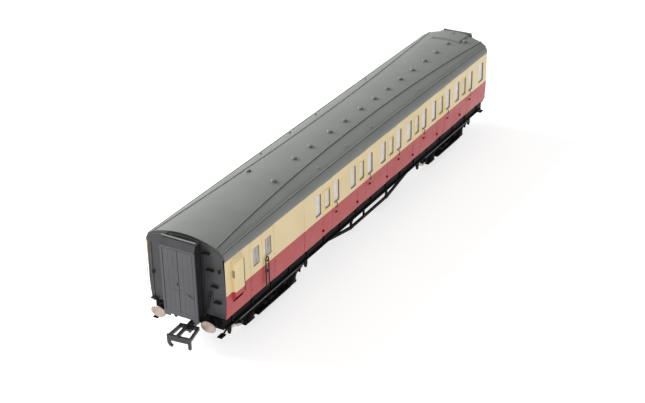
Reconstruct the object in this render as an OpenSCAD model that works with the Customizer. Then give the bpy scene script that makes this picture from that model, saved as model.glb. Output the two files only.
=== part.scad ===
// Model railway passenger coach with a brake (luggage) end, on two four-wheeled bogies.
// X runs along the coach with the brake end at -X, the compartment side faces -Y,
// and Z is up from the plane that the wheel flanges stand on.

/* [Body] */
// Length of the body over its end walls
body_length = 236; // [200:1:290]
// Width of the body at the waist and above
body_width = 36; // [33:0.5:43.5]
// Height of the lower edge of the body sides above the floor
body_base = 17.2; // [17:0.1:20]
// Height of the colour division below the windows
waist_height = 27.5; // [26:0.1:32]
// Height of the eaves, where side and roof meet
eaves_height = 43.2; // [41.5:0.1:51]
// How far each side curves inwards between waist and lower edge
tumblehome = 0.6; // [0:0.1:1.5]
// Thickness of the moulded side walls
side_wall = 1.2; // [0.8:0.1:1.6]
// Thickness of the moulded end walls
end_wall = 1.4; // [1:0.1:2]

/* [Roof] */
// Rise of the roof from the eaves to the crown
roof_rise = 6.9; // [6:0.1:8]
// Radius of the main roof arc
roof_radius = 40; // [36:1:52]
// Radius of the roof shoulder above each eave
shoulder_radius = 6; // [5:0.5:7]
// Thickness of the roof shell
roof_wall = 1.1; // [0.8:0.1:1.4]
// Height of the rain strips above the roof
strip_height = 0.35; // [0.2:0.05:0.6]
// Width of a rain strip
strip_width = 0.6; // [0.4:0.1:0.9]
// Diameter of a roof ventilator
vent_diameter = 2.4; // [1.6:0.1:3]
// Height of a roof ventilator at the crown
vent_height = 1.0; // [0.6:0.1:1.3]
// Length of the raised tank cover at the lavatory end
tank_length = 10.6; // [8:0.2:13]
// Width of the raised tank cover
tank_width = 14.6; // [10:0.2:18]
// Height of the tank cover above the roof
tank_height = 0.9; // [0.5:0.1:1.3]

/* [Windows and doors] */
// Length of a first-class compartment
first_length = 29.5; // [28:0.1:31]
// Length of a third-class compartment
third_length = 25.4; // [24.6:0.1:27]
// Place along the coach of the first compartment door
first_door_x = -41.75; // [-46:0.25:-38]
// Width of one window
window_width = 4.5; // [3.6:0.1:5.6]
// Height of a side window
window_height = 9.7; // [8:0.1:11.6]
// Height of the window sills above the waist
sill_above_waist = 1.7; // [1:0.1:2]
// Distance from a door light to the light beside it
quarter_offset = 7.6; // [6.6:0.1:8.4]
// Width of a large corridor window
corridor_window = 12.8; // [9:0.2:14]
// Width of a side door
door_width = 7.8; // [6.4:0.1:8.6]
// Place along the coach of the joint between the luggage doors
luggage_door_x = -92.4; // [-96:0.2:-88]
// Width of one leaf of the luggage doors
luggage_leaf = 8.6; // [7.4:0.1:9.6]
// Thickness of the window glazing
glazing = 0.6; // [0.4:0.1:0.9]
// Length of the guard's side lookout
ducket_length = 6.4; // [5:0.2:8]
// How far the guard's lookout stands out from the side
ducket_depth = 1.5; // [0.8:0.1:2.2]

/* [Interior] */
// Thickness of the compartment partitions
partition_wall = 0.9; // [0.6:0.1:1.4]
// Width of the side corridor
corridor_width = 7.6; // [6.5:0.1:9]
// Depth of a seat from its back to its front edge
seat_depth = 6.4; // [5:0.1:7.4]
// Thickness of the steel ballast plate under the floor
ballast_thickness = 1.0; // [0.8:0.1:1.5]

/* [Underframe] */
// Thickness of the underframe floor
floor_thickness = 1.2; // [0.9:0.1:1.6]
// Depth of the solebars and headstocks
solebar_depth = 5.3; // [4.4:0.1:5.6]
// Thickness of the headstocks
headstock_thickness = 1.6; // [1.2:0.1:2.4]
// Distance of each truss post from mid-length
truss_post_x = 16.5; // [13:0.5:22]
// Distance of each truss foot from mid-length
truss_foot_x = 45; // [38:1:49]
// Depth of the truss below the solebar
truss_drop = 5.4; // [4.5:0.1:8]
// Distance between the buffer centres
buffer_spacing = 23.3; // [20:0.1:24]
// Height of the buffer centres
buffer_height = 14.5; // [14.2:0.1:14.8]
// Width of the oval buffer heads
buffer_head_width = 7.0; // [5.4:0.1:7.6]
// Height of the oval buffer heads
buffer_head_height = 4.8; // [4:0.1:5.6]
// Distance of the buffer faces from the end wall
buffer_length = 4.6; // [3.6:0.1:5]
// Width of the gangway connection
gangway_width = 15.8; // [13:0.1:16.2]
// Distance of the gangway face from the end wall
gangway_length = 5.2; // [4:0.1:6.5]

/* [Bogies and wheels] */
// Distance between the bogie centres
bogie_centres = 162; // [150:1:174]
// Distance between the axles of a bogie
bogie_wheelbase = 32; // [26:0.5:33]
// Diameter of a wheel on its tread
wheel_diameter = 14.1; // [11.7:0.1:14.2]
// Height of the wheel flange above the tread
flange_height = 0.95; // [0.6:0.05:1.0]
// Distance between the backs of the wheels
back_to_back = 14.4; // [14.2:0.1:14.8]
// Width of a wheel with its flange
wheel_width = 2.8; // [2.2:0.1:3]
// Diameter of an axle
axle_diameter = 2.0; // [1.6:0.1:2.4]
// Length of an axle over its pinpoints
axle_length = 25.6; // [25:0.1:26]
// Thickness of a bogie side frame
frame_thickness = 1.5; // [1.2:0.1:1.9]
// Radial clearance of the bogie pivot
pivot_clearance = 0.1; // [0.05:0.05:0.3]

/* [Couplings] */
// Height of the coupling drawbar
coupling_height = 9.8; // [9.4:0.1:10]
// Width of the coupling bar
coupling_width = 10.2; // [9:0.2:12.4]
// Distance from the coupling pivot to the front of the bar
coupling_reach = 17.4; // [16.6:0.2:21]
// Sideways angle at which the couplings are parked
coupling_angle = 7; // [0:1:9]

/* [Hidden] */
$fn = 48;
eps = 0.01;
cut = 5;                                   // how far a cutting tool passes a face

// colours
cream = [0.86, 0.77, 0.53];
roof_grey = [0.42, 0.45, 0.43];
end_grey = [0.13, 0.13, 0.14];
frame_black = [0.05, 0.05, 0.05];
clear = [0.8, 0.82, 0.8, 0.4];
tan_brown = [0.62, 0.5, 0.4];
seat_red = [0.45, 0.2, 0.17];
steel = [0.62, 0.6, 0.57];

// body
half_l = body_length / 2;
half_w = body_width / 2;
inner_x = half_l - end_wall;               // inside face of an end wall
crown = eaves_height + roof_rise;
window_sill = waist_height + sill_above_waist;
fit_gap = 0.1;                             // between mouldings that slide together

// roof section: a main arc with a shoulder arc tangent to it on each side
// and running out to the eave, so its centre lies where two known distances cross
eave_y = half_w + 0.17;                    // roof edge, just outside the side
main_z = crown - roof_radius;
eave_d = sqrt(pow(eave_y, 2) + pow(eaves_height - main_z, 2));
inner_r = roof_radius - shoulder_radius;
cross_a = (pow(inner_r, 2) - pow(shoulder_radius, 2) + pow(eave_d, 2)) / (2 * eave_d);
cross_h = sqrt(pow(inner_r, 2) - pow(cross_a, 2));
shoulder_cy = (cross_a * eave_y - cross_h * (eaves_height - main_z)) / eave_d;
shoulder_cz = main_z + (cross_a * (eaves_height - main_z) + cross_h * eave_y) / eave_d;
shoulder_angle = asin(shoulder_cy / inner_r);
shoulder_y = roof_radius * sin(shoulder_angle);

// side openings: compartment doors from the brake end to the lavatory end
door_pitches = [first_length, (first_length + third_length) / 2, third_length, third_length,
                third_length];
function door_x(i) = i == 0 ? first_door_x : door_x(i - 1) + door_pitches[i - 1];
compartments = 6;
lavatory_window_x = door_x(5) + third_length / 2 + 7.1;
corridor_door_xs = [for (i = [0, 2, 4]) (door_x(i) + door_x(i + 1)) / 2];
door_light_inset = 0.5;                    // door lights are this much shorter at each end
lavatory_window = window_width + 1;
luggage_sill = window_sill + 1.4;
luggage_light_height = window_height - 1.7;
luggage_window_xs = [luggage_door_x - luggage_leaf / 2, luggage_door_x + luggage_leaf / 2];
function partition_x(i) =
    i == 0 ? first_door_x - first_length / 2 : partition_x(i - 1) + (i <= 2 ? first_length : third_length);

// heights of the stack inside the body
wheel_r = wheel_diameter / 2;
flange_r = wheel_r + flange_height;
axle_z = flange_r;
floor_z = body_base + 0.2;                 // underside of the underframe floor
ballast_z = floor_z + floor_thickness;
interior_z = ballast_z + ballast_thickness;
interior_floor = 0.8;
seat_height = 5.2;
seat_back = 1.2;                           // thickness of a seat back
seat_back_height = 9;                      // seat back above the cushion
partition_top = eaves_height - 1.2;

// underframe
solebar_y = half_w - 2.8;                  // inner face of a solebar web
solebar_web = 0.6;
solebar_flange = 0.8;                      // how far its flanges stand out
solebar_lip = 0.5;                         // thickness of its flanges
solebar_bottom = body_base - solebar_depth;
headstock_x = half_l - headstock_thickness;
truss_y = solebar_y - 0.9;
truss_bar = 1.3;
gangway_base = body_base - 1.1;
gangway_panel_top = eaves_height + 2.7;
gangway_top = crown - 0.5;
gangway_plate = 0.8;

// bogies
bogie_x = bogie_centres / 2;
axle_x = bogie_wheelbase / 2;
frame_y = 11.9;                            // inner face of a bogie side frame
frame_top = axle_z + 1.5;
frame_bottom = 4.4;
beam = 0.9;                                // thickness of a bogie's end beams
frame_half_l = axle_x + flange_r + 0.4 + beam;
box_bottom = 3.4;                          // underside of the axleboxes
flange_out = 1.3;                          // how far the frame's top flange stands out
board_out = 2.2;                           // how far the footboard stands out
board_z = 5.0;
board_half_l = axle_x - 3.6;
guard_x = frame_half_l + 3.6;
bolster_top = 12.0;
pivot_pad_r = 4.2;
pivot_r = 1.8;
pivot_head_r = 3.0;
pivot_head = 1.2;                          // depth of the screw head
pivot_gap = 0.2;                           // between bolster and pad
pivot_head_z = frame_bottom + 1.5 - pivot_gap;
axle_r = axle_diameter / 2;
pinpoint = 1.3;                            // length of the cone at each end of an axle
pinpoint_r = 0.2;
bearing_gap = 0.08;

// couplings
coupling_pivot_x = half_l - 6.5;
coupling_boss_r = 1.6;
coupling_boss_h = 1;                       // half the height of the pivot boss
coupling_post_r = 2.2;                     // post on the floor that the boss turns under
coupling_gap = 0.1;

// ---------- helpers ----------

module place_end(side) {
    // the same piece at the brake end (side = -1) or turned round to the lavatory end
    if (side < 0) children();
    else rotate([0, 0, 180]) children();
}

module along_x(x0, x1) {
    // extrude a Y-Z outline from x0 to x1
    translate([x0, 0, 0]) rotate([90, 0, 90]) linear_extrude(x1 - x0) children();
}

module box(x0, x1, y0, y1, z0, z1) {
    translate([x0, y0, z0]) cube([x1 - x0, y1 - y0, z1 - z0]);
}

module rod_x(x0, x1, y, z, r) {
    translate([x0, y, z]) rotate([0, 90, 0]) cylinder(r = r, h = x1 - x0);
}

module rod_y(x, y0, y1, z, r) {
    translate([x, y0, z]) rotate([-90, 0, 0]) cylinder(r = r, h = y1 - y0);
}

module rod_z(x, y, z0, z1, r) {
    translate([x, y, z0]) cylinder(r = r, h = z1 - z0);
}

// ---------- body ----------

module roof_outline(inset = 0) {
    // filled roof section above the eaves, moved in by inset
    join_y = shoulder_y - inset * sin(shoulder_angle);
    union() {
        intersection() {
            translate([0, main_z]) circle(r = roof_radius - inset, $fn = 240);
            translate([-join_y, eaves_height]) square([2 * join_y, crown]);
        }
        for (s = [-1, 1]) intersection() {
            translate([s * shoulder_cy, shoulder_cz]) circle(r = shoulder_radius - inset, $fn = 96);
            translate([s > 0 ? join_y : -join_y - half_w, eaves_height]) square([half_w, crown]);
        }
    }
}

function tumble_y(z) =
    half_w - tumblehome * pow(max(0, waist_height - z) / (waist_height - body_base), 2);
tumble_steps = 5;
tumble_zs = [for (i = [0 : tumble_steps]) body_base + (waist_height - body_base) * i / tumble_steps];

module side_outline(inset = 0, top = eaves_height) {
    // one side's outer face as seen from the end, on +Y, filled in to the centre line
    polygon(concat([[0, body_base]],
                   [for (z = tumble_zs) [tumble_y(z) - inset, z]],
                   [[half_w - inset, top], [0, top]]));
}

module wall_section() {
    difference() {
        side_outline();
        translate([0, -eps]) side_outline(side_wall, eaves_height + 1);
        translate([-eps, 0]) square([half_w - 3 * side_wall, eaves_height + 1]);
    }
}

module window_hole(x, width, z0, height) {
    box(x - width / 2, x + width / 2, half_w - cut, half_w + cut, z0, z0 + height);
}

module luggage_holes() {
    for (x = luggage_window_xs)
        window_hole(x, window_width, luggage_sill, luggage_light_height);
}

module compartment_holes() {
    for (i = [0 : compartments - 1]) {
        window_hole(door_x(i), window_width, window_sill + door_light_inset,
                    window_height - 2 * door_light_inset);
        for (s = [-1, 1])
            window_hole(door_x(i) + s * quarter_offset, window_width, window_sill, window_height);
    }
    window_hole(lavatory_window_x, lavatory_window, window_sill, window_height);
    luggage_holes();
}

module corridor_holes() {
    for (i = [0 : compartments - 1])
        window_hole(door_x(i), corridor_window, window_sill, window_height);
    for (x = corridor_door_xs)
        window_hole(x, window_width, window_sill + door_light_inset,
                    window_height - 2 * door_light_inset);
    window_hole(lavatory_window_x, lavatory_window, window_sill, window_height);
    luggage_holes();
}

module side_panel() {
    along_x(-inner_x, inner_x) wall_section();
}

module compartment_side() {
    color(cream) mirror([0, 1, 0]) difference() {
        side_panel();
        compartment_holes();
    }
}

module corridor_side() {
    color(cream) difference() {
        side_panel();
        corridor_holes();
    }
}

module end_panel() {
    // a whole end wall at the brake end: both side outlines and the space under the roof
    color(end_grey) along_x(-half_l, -inner_x) union() {
        for (s = [0, 1]) mirror([s, 0]) side_outline();
        roof_outline(roof_wall);
        translate([-shoulder_cy, eaves_height - 1]) square([2 * shoulder_cy, 2]);
    }
}

module brake_end_wall() {
    place_end(-1) end_panel();
}

module lavatory_end_wall() {
    place_end(1) end_panel();
}

module roof_block(inset = 0, x0 = -half_l, x1 = half_l) {
    along_x(x0, x1) roof_outline(inset);
}

module roof() {
    color(roof_grey) along_x(-half_l, half_l) difference() {
        roof_outline();
        roof_outline(roof_wall);
    }
}

function strip_bow(x, mid, bow) = mid + bow * pow(x / half_l, 2);
strip_steps = 14;
strip_xs = [for (i = [0 : strip_steps]) -half_l + body_length * i / strip_steps];

module strip_plan(mid, bow) {
    // a bowed strip seen from above, nearest the centre line at mid-length
    polygon(concat([for (x = strip_xs) [x, strip_bow(x, mid, bow)]],
                   [for (i = [strip_steps : -1 : 0])
                        [strip_xs[i], strip_bow(strip_xs[i], mid, bow) + strip_width]]));
}

upper_strip_y = half_w - 9.2;
upper_strip_bow = 5.2;
lower_strip_y = half_w - 2.4;
lower_strip_bow = 0.9;

module rain_strips() {
    color(roof_grey) difference() {
        intersection() {
            for (s = [0, 1], strip = [[upper_strip_y, upper_strip_bow], [lower_strip_y, lower_strip_bow]])
                mirror([0, s, 0]) translate([0, 0, eaves_height])
                    linear_extrude(roof_rise + 2) strip_plan(strip[0], strip[1]);
            roof_block(-strip_height);
        }
        roof_block(0, -half_l - cut, half_l + cut);
    }
}

vent_y = 3.3;
vent_before = 2.2;                         // first ventilator of a compartment, before its door
vent_after = 10.7;                         // second ventilator, after its door
brake_vents = [[-62, 7.6], [-64.8, -6.4]];
tank_x1 = half_l - 0.6;
tank_x0 = tank_x1 - tank_length;
function roof_z(y) =
    abs(y) < shoulder_y ? main_z + sqrt(pow(roof_radius, 2) - y * y)
        : shoulder_cz + sqrt(max(0, pow(shoulder_radius, 2) - pow(abs(y) - shoulder_cy, 2)));
vent_spots = concat([for (i = [0 : compartments - 1], dx = [-vent_before, vent_after])
                         [door_x(i) + dx, -vent_y]],
                    brake_vents, [[tank_x0 + 3.4, -tank_width / 2 - 1.6]]);

module vent(x, y) {
    // a flat cap on a short neck, seated on the curve of the roof
    top = roof_z(y) + vent_height;
    translate([x, y, 0]) {
        translate([0, 0, top - vent_height - 0.6]) cylinder(d = vent_diameter * 0.62, h = vent_height);
        translate([0, 0, top - 0.6]) cylinder(d1 = vent_diameter, d2 = vent_diameter * 0.7, h = 0.6);
    }
}

module roof_vents() {
    color(roof_grey) difference() {
        for (spot = vent_spots) vent(spot[0], spot[1]);
        roof_block(0, -half_l - cut, half_l + cut);
    }
}

module tank_cover() {
    color(roof_grey) difference() {
        intersection() {
            roof_block(-tank_height, tank_x0, tank_x1);
            box(tank_x0, tank_x1, -tank_width / 2, tank_width / 2, eaves_height, crown + 2);
        }
        roof_block(0, -half_l - cut, half_l + cut);
    }
}

ducket_x = -half_l + 7.6;                  // middle of the lookout
ducket_z0 = body_base + 5.6;
ducket_z1 = eaves_height - 1.2;
ducket_slope = 2.2;

module ducket() {
    // a shallow box on the side, sloped at its top and foot, on the +Y side
    difference() {
        translate([ducket_x - ducket_length / 2, 0, 0]) rotate([90, 0, 90])
            linear_extrude(ducket_length)
            polygon([[half_w - 1, ducket_z0], [half_w, ducket_z0],
                     [half_w + ducket_depth, ducket_z0 + ducket_slope],
                     [half_w + ducket_depth, ducket_z1 - ducket_slope],
                     [half_w, ducket_z1], [half_w - 1, ducket_z1]]);
        along_x(-half_l, half_l) side_outline(0, eaves_height + 1);
    }
}

module ducket_compartment() {
    color(cream) mirror([0, 1, 0]) ducket();
}

module ducket_corridor() {
    color(cream) ducket();
}

// ---------- glazing and interior ----------

module glazing_sheet() {
    // a clear sheet behind the windows of the +Y side
    inner = half_w - side_wall;
    box(-inner_x + fit_gap, inner_x - fit_gap, inner - glazing, inner,
        waist_height + 0.4, eaves_height - 1.4);
}

module pane(x, width, z0, height) {
    // the raised part of the sheet that fills a window
    g = fit_gap;
    box(x - width / 2 + g, x + width / 2 - g, half_w - side_wall - eps, half_w - 0.35,
        z0 + g, z0 + height - g);
}

module door_pane(x) {
    pane(x, window_width, window_sill + door_light_inset, window_height - 2 * door_light_inset);
}

module end_panes() {
    pane(lavatory_window_x, lavatory_window, window_sill, window_height);
    for (x = luggage_window_xs)
        pane(x, window_width, luggage_sill, luggage_light_height);
}

module compartment_glazing() {
    color(clear) mirror([0, 1, 0]) union() {
        glazing_sheet();
        for (i = [0 : compartments - 1]) {
            door_pane(door_x(i));
            for (s = [-1, 1])
                pane(door_x(i) + s * quarter_offset, window_width, window_sill, window_height);
        }
        end_panes();
    }
}

module corridor_glazing() {
    color(clear) union() {
        glazing_sheet();
        for (i = [0 : compartments - 1])
            pane(door_x(i), corridor_window, window_sill, window_height);
        for (x = corridor_door_xs) door_pane(x);
        end_panes();
    }
}

interior_half_w = half_w - side_wall - glazing - 0.5;
interior_x0 = partition_x(0) - partition_wall;
corridor_wall_y = interior_half_w - corridor_width;

module interior() {
    // moulded floor with the compartment partitions and the corridor partition
    color(tan_brown) union() {
        box(-inner_x + 1, inner_x - 1, -interior_half_w, interior_half_w,
            interior_z, interior_z + interior_floor);
        for (i = [0 : compartments])
            box(partition_x(i) - partition_wall / 2, partition_x(i) + partition_wall / 2,
                -interior_half_w, corridor_wall_y, interior_z, partition_top);
        difference() {
            box(interior_x0, inner_x - 1, corridor_wall_y - partition_wall, corridor_wall_y,
                interior_z, partition_top);
            for (i = [0 : compartments - 1])
                box(door_x(i) - door_width, door_x(i) + door_width, corridor_wall_y - cut,
                    corridor_wall_y + cut, window_sill, window_sill + window_height);
        }
    }
}

module seat(x, face) {
    // a bench with its back against a partition; face is the way that the sitter looks
    floor_top = interior_z + interior_floor;
    y0 = -interior_half_w + 0.6;
    y1 = corridor_wall_y - partition_wall;
    translate([x, 0, 0]) mirror([face < 0 ? 1 : 0, 0, 0]) {
        box(0, seat_depth, y0, y1, floor_top, floor_top + seat_height);
        box(0, seat_back, y0, y1, floor_top, floor_top + seat_height + seat_back_height);
    }
}

module seats() {
    color(seat_red)
    for (i = [0 : compartments - 1]) {
        seat(partition_x(i) + partition_wall / 2, 1);
        seat(partition_x(i + 1) - partition_wall / 2, -1);
    }
}

module ballast_plate() {
    color(steel) box(-inner_x + 12, inner_x - 12, -interior_half_w + 1, interior_half_w - 1,
                     ballast_z, interior_z);
}

// ---------- underframe ----------

rib_length = 6;                            // ribs behind the headstocks
rib_width = 2;
rib_y = 9;
pivot_skin = 0.3;                          // floor left above a pivot screw

module underframe_floor() {
    pad_z = bolster_top + pivot_gap;
    floor_half_w = tumble_y(floor_z) - side_wall - fit_gap;
    color(frame_black) difference() {
        union() {
            box(-inner_x + fit_gap, inner_x - fit_gap, -floor_half_w, floor_half_w, floor_z, ballast_z);
            for (s = [0, 1]) mirror([s, 0, 0]) {
                rod_z(bogie_x, 0, pad_z, floor_z + eps, pivot_pad_r);
                rod_z(coupling_pivot_x, 0, coupling_height + coupling_boss_h + coupling_gap,
                      floor_z + eps, coupling_post_r);
                for (y = [-rib_y, rib_y])
                    box(headstock_x - rib_length, headstock_x, y - rib_width / 2, y + rib_width / 2,
                        solebar_bottom + 1, floor_z + eps);
            }
        }
        for (s = [-1, 1])
            rod_z(s * bogie_x, 0, pad_z - cut, ballast_z - pivot_skin, pivot_r);
    }
}

module solebar() {
    // an outward-facing channel under the +Y side
    x = headstock_x;
    web_y = solebar_y + solebar_web;
    lip_y = web_y + solebar_flange;
    color(frame_black) union() {
        box(-x, x, solebar_y, web_y, solebar_bottom, floor_z);
        box(-x, x, solebar_y, lip_y, solebar_bottom, solebar_bottom + solebar_lip);
        box(-x, x, solebar_y, lip_y, body_base - solebar_lip, body_base);
    }
}

module solebar_compartment() {
    mirror([0, 1, 0]) solebar();
}

module solebar_corridor() {
    solebar();
}

module headstock(side) {
    color(frame_black) place_end(side)
        box(-half_l, -headstock_x, -solebar_y - solebar_web, solebar_y + solebar_web,
            solebar_bottom, body_base);
}

module headstock_brake() {
    headstock(-1);
}

module headstock_lavatory() {
    headstock(1);
}

module truss() {
    // angle-iron truss under the +Y solebar: a low bar on two posts with sloping ends
    low = solebar_bottom - truss_drop;
    foot = truss_bar;
    color(frame_black) translate([0, truss_y, 0]) rotate([90, 0, 0])
        translate([0, 0, -0.9]) linear_extrude(0.9) union() {
            for (s = [-1, 1]) {
                polygon([[s * truss_foot_x, solebar_bottom],
                         [s * (truss_foot_x - 5), solebar_bottom],
                         [s * truss_post_x, low + foot], [s * truss_post_x, low],
                         [s * (truss_post_x + 1), low]]);
                translate([s * truss_post_x - 0.6, low]) square([1.2, truss_drop]);
            }
            translate([-truss_post_x, low]) square([2 * truss_post_x, truss_bar]);
            translate([-5.3, low]) square([0.7, truss_drop]);
        }
}

module truss_compartment() {
    mirror([0, 1, 0]) truss();
}

module truss_corridor() {
    truss();
}

battery_x = 20;                            // middle of a battery box
battery_length = 18;
battery_y = 6.5;                           // its inner and outer faces
battery_out = 12.5;
battery_bottom = 7.2;

module battery_boxes() {
    // two boxes hung under the floor, one behind each truss
    color(frame_black) for (turn = [0, 180]) rotate([0, 0, turn])
        box(battery_x - battery_length / 2, battery_x + battery_length / 2, battery_y, battery_out,
            battery_bottom, floor_z);
}

cylinder_x = 38;                           // place of a brake cylinder
cylinder_y = 7;
cylinder_r = 3.4;
cylinder_bottom = 7.6;
cylinder_neck = 1;                         // height and radius of its fixing
cylinder_neck_r = 2.2;
dynamo_x = -12;                            // axis of the dynamo, which lies across the coach
dynamo_z = 9.6;
dynamo_r = 2.8;

module vacuum_cylinders() {
    // upright brake cylinders and the dynamo, hung from the floor on brackets
    neck_z = floor_z - cylinder_neck;
    color(frame_black) {
        for (s = [-1, 1]) {
            rod_z(s * cylinder_x, -s * cylinder_y, cylinder_bottom, neck_z, cylinder_r);
            rod_z(s * cylinder_x, -s * cylinder_y, neck_z - eps, floor_z, cylinder_neck_r);
        }
        rod_y(dynamo_x, 2, 9, dynamo_z, dynamo_r);
        box(dynamo_x - 1, dynamo_x + 1, 4.5, 6.5, dynamo_z, floor_z);
    }
}

step_strap_x = half_l - 4.2;                // where a step's strap leaves the solebar
step_x = half_l + 0.6;                     // middle of the step plate
step_y = solebar_y - 0.1;
step_z = 9.8;
step_plate = 0.5;
step_length = 3.2;
step_depth = 2.2;
step_strap = 0.7;                          // thickness of the strap

module corner_step(sx, sy) {
    // a footstep on a strap that slopes forwards from the end of a solebar
    mirror([sx < 0 ? 1 : 0, 0, 0]) mirror([0, sy < 0 ? 1 : 0, 0]) {
        translate([0, step_y + step_strap, 0]) rotate([90, 0, 0]) linear_extrude(step_strap)
            polygon([[step_strap_x - 0.9, solebar_bottom], [step_strap_x + 0.3, solebar_bottom],
                     [step_x + 0.5, step_z], [step_x - 0.7, step_z]]);
        box(step_x - step_length / 2, step_x + step_length / 2, step_y - step_depth / 2,
            step_y + step_depth / 2, step_z - step_plate, step_z + eps);
    }
}

module corner_steps() {
    color(frame_black) for (sx = [-1, 1], sy = [-1, 1]) corner_step(sx, sy);
}

buffer_stock = 2.2;                        // length and radius of the stock
buffer_stock_r = 1.9;
buffer_shank_r = 1.1;
buffer_head = 0.9;                         // thickness of the head

module buffer(y) {
    shank_x = half_l + buffer_length - buffer_head;
    translate([0, y, buffer_height]) {
        rod_x(-half_l - buffer_stock, -half_l, 0, 0, buffer_stock_r);
        rod_x(-shank_x, -half_l - buffer_stock + eps, 0, 0, buffer_shank_r);
        intersection() {
            rod_x(-half_l - buffer_length, -shank_x + eps, 0, 0, buffer_head_width / 2);
            box(-half_l - buffer_length - 1, -half_l, -buffer_head_width, buffer_head_width,
                -buffer_head_height / 2, buffer_head_height / 2);
        }
    }
}

module buffers(side) {
    color(steel) place_end(side) for (s = [-1, 1]) buffer(s * buffer_spacing / 2);
}

module buffers_brake() {
    buffers(-1);
}

module buffers_lavatory() {
    buffers(1);
}

pleats = 4;
canvas_drop = 1.1;                         // the canvas roof lies this far below the hood's edge
hood_lean = 2;                             // how far the hood leans back towards the end wall
hood_bar = 0.7;                            // the stiff bar along the hood's edge

module gangway(side) {
    // pleated bellows between end wall and face plate, with a sloping hood at the top
    root = half_l;
    face = half_l + gangway_length - gangway_plate;
    pitch = (face - root) / pleats;
    w = gangway_width / 2;
    z0 = gangway_base + 0.4;
    canvas_z = gangway_top - canvas_drop;
    bar_x = -face - gangway_plate + hood_lean;
    color(frame_black) place_end(side) union() {
        for (i = [0 : pleats - 1])
            box(-root - (i + 0.5) * pitch, -root - i * pitch, -w + 0.2, w - 0.2, z0, canvas_z - 0.2);
        box(-face, -root, -w + 0.9, w - 0.9, z0, canvas_z - 0.5);
        translate([0, w - 0.1, 0]) rotate([90, 0, 0]) linear_extrude(2 * w - 0.2)
            polygon([[-face, gangway_panel_top], [-face - gangway_plate, gangway_panel_top],
                     [bar_x, gangway_top], [bar_x + hood_bar, gangway_top], [bar_x + hood_bar, canvas_z],
                     [-root, canvas_z], [-root, canvas_z - 0.6], [bar_x, canvas_z - 0.6]]);
    }
}

module gangway_brake() {
    gangway(-1);
}

module gangway_lavatory() {
    gangway(1);
}

leaf_gap = 0.2;                            // half the gap between the leaves
gangway_foot = 2.6;                        // width of a foot under the face plate

module gangway_doors(side) {
    // closed face plate on two feet, with two door leaves standing slightly proud
    back = half_l + gangway_length - gangway_plate;
    w = gangway_width / 2;
    leaf = w - 1.3;
    color(end_grey) place_end(side) union() {
        box(-back - gangway_plate + 0.3, -back, -w, w, gangway_base, gangway_panel_top);
        for (s = [0, 1]) mirror([0, s, 0]) {
            box(-back - gangway_plate, -back - 0.3, leaf_gap, leaf, gangway_base + 1.4,
                gangway_panel_top - 0.5);
            box(-back - gangway_plate + 0.3, -back, w - gangway_foot, w, gangway_base - 1.2,
                gangway_base + eps);
        }
    }
}

module gangway_doors_brake() {
    gangway_doors(-1);
}

module gangway_doors_lavatory() {
    gangway_doors(1);
}

// climbing steps on the -Y half of an end, from the lowest to the highest
end_step_zs = [23.6, 30.4, 37.2, 44.1];
end_step_ys = [-14.0, -12.9, -11.4, -9.9];
end_step_out = 1.3;
end_step_width = 3.2;
lamp_iron = 1;                             // width of a lamp iron
lamp_iron_height = 1.4;
lamp_iron_spots = [[-15.4, 37], [15.6, 28.6]];
end_pipe_y = 9.4;
end_pipe_top = 33;
end_pipe_r = 0.3;

module end_fittings(side) {
    // climbing steps, lamp irons and a pipe on the end wall
    color(frame_black) place_end(side) {
        for (i = [0 : len(end_step_zs) - 1])
            box(-half_l - end_step_out, -half_l, end_step_ys[i] - end_step_width / 2,
                end_step_ys[i] + end_step_width / 2, end_step_zs[i], end_step_zs[i] + 0.5);
        for (spot = lamp_iron_spots)
            box(-half_l - lamp_iron, -half_l, spot[0] - lamp_iron / 2, spot[0] + lamp_iron / 2,
                spot[1], spot[1] + lamp_iron_height);
        box(-half_l - 1.4, -half_l, 14.2, 17.2, body_base + 0.1, body_base + 0.7);
        rod_z(-half_l - 0.5, end_pipe_y, body_base + 0.2, end_pipe_top, end_pipe_r);
        for (z = [body_base + 0.3, end_pipe_top - 1.5])
            box(-half_l - 0.5, -half_l, end_pipe_y - 0.2, end_pipe_y + 0.2, z, z + 0.4);
    }
}

module end_fittings_brake() {
    end_fittings(-1);
}

module end_fittings_lavatory() {
    end_fittings(1);
}

grab_top = window_sill + 1.8;
grab_bottom = body_base + 1;
grab_r = 0.25;
grab_offset = 2.1;                         // from the joint of the luggage doors
grab_half_w = 1.05;

module grab_rail(x) {
    // a long wire loop beside the luggage doors, standing off the +Y side on two feet
    y = half_w + 0.7;
    straight_top = grab_top - grab_half_w;
    straight_bottom = grab_bottom + grab_half_w;
    for (s = [-1, 1]) rod_z(x + s * grab_half_w, y, straight_bottom, straight_top, grab_r);
    translate([x, y, straight_top]) rotate([90, 0, 0])
        rotate_extrude(angle = 180) translate([grab_half_w, 0]) circle(r = grab_r, $fn = 16);
    translate([x, y, straight_bottom]) rotate([90, 0, 0]) rotate([0, 0, 180])
        rotate_extrude(angle = 180) translate([grab_half_w, 0]) circle(r = grab_r, $fn = 16);
    for (z = [waist_height - 3, waist_height + 1.4])
        rod_y(x + grab_half_w, half_w, y, z, grab_r * 0.8);
}

module grab_rails() {
    color(frame_black) for (s = [0, 1]) mirror([0, s, 0]) grab_rail(luggage_door_x + grab_offset);
}

// ---------- bogies ----------

module bearing(x) {
    // a coned hole for the pinpoint end of an axle
    g = bearing_gap;
    translate([x, axle_length / 2 - pinpoint - g, axle_z]) rotate([-90, 0, 0])
        cylinder(r1 = axle_r + g, r2 = pinpoint_r + g, h = pinpoint + 2 * g);
}

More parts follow.
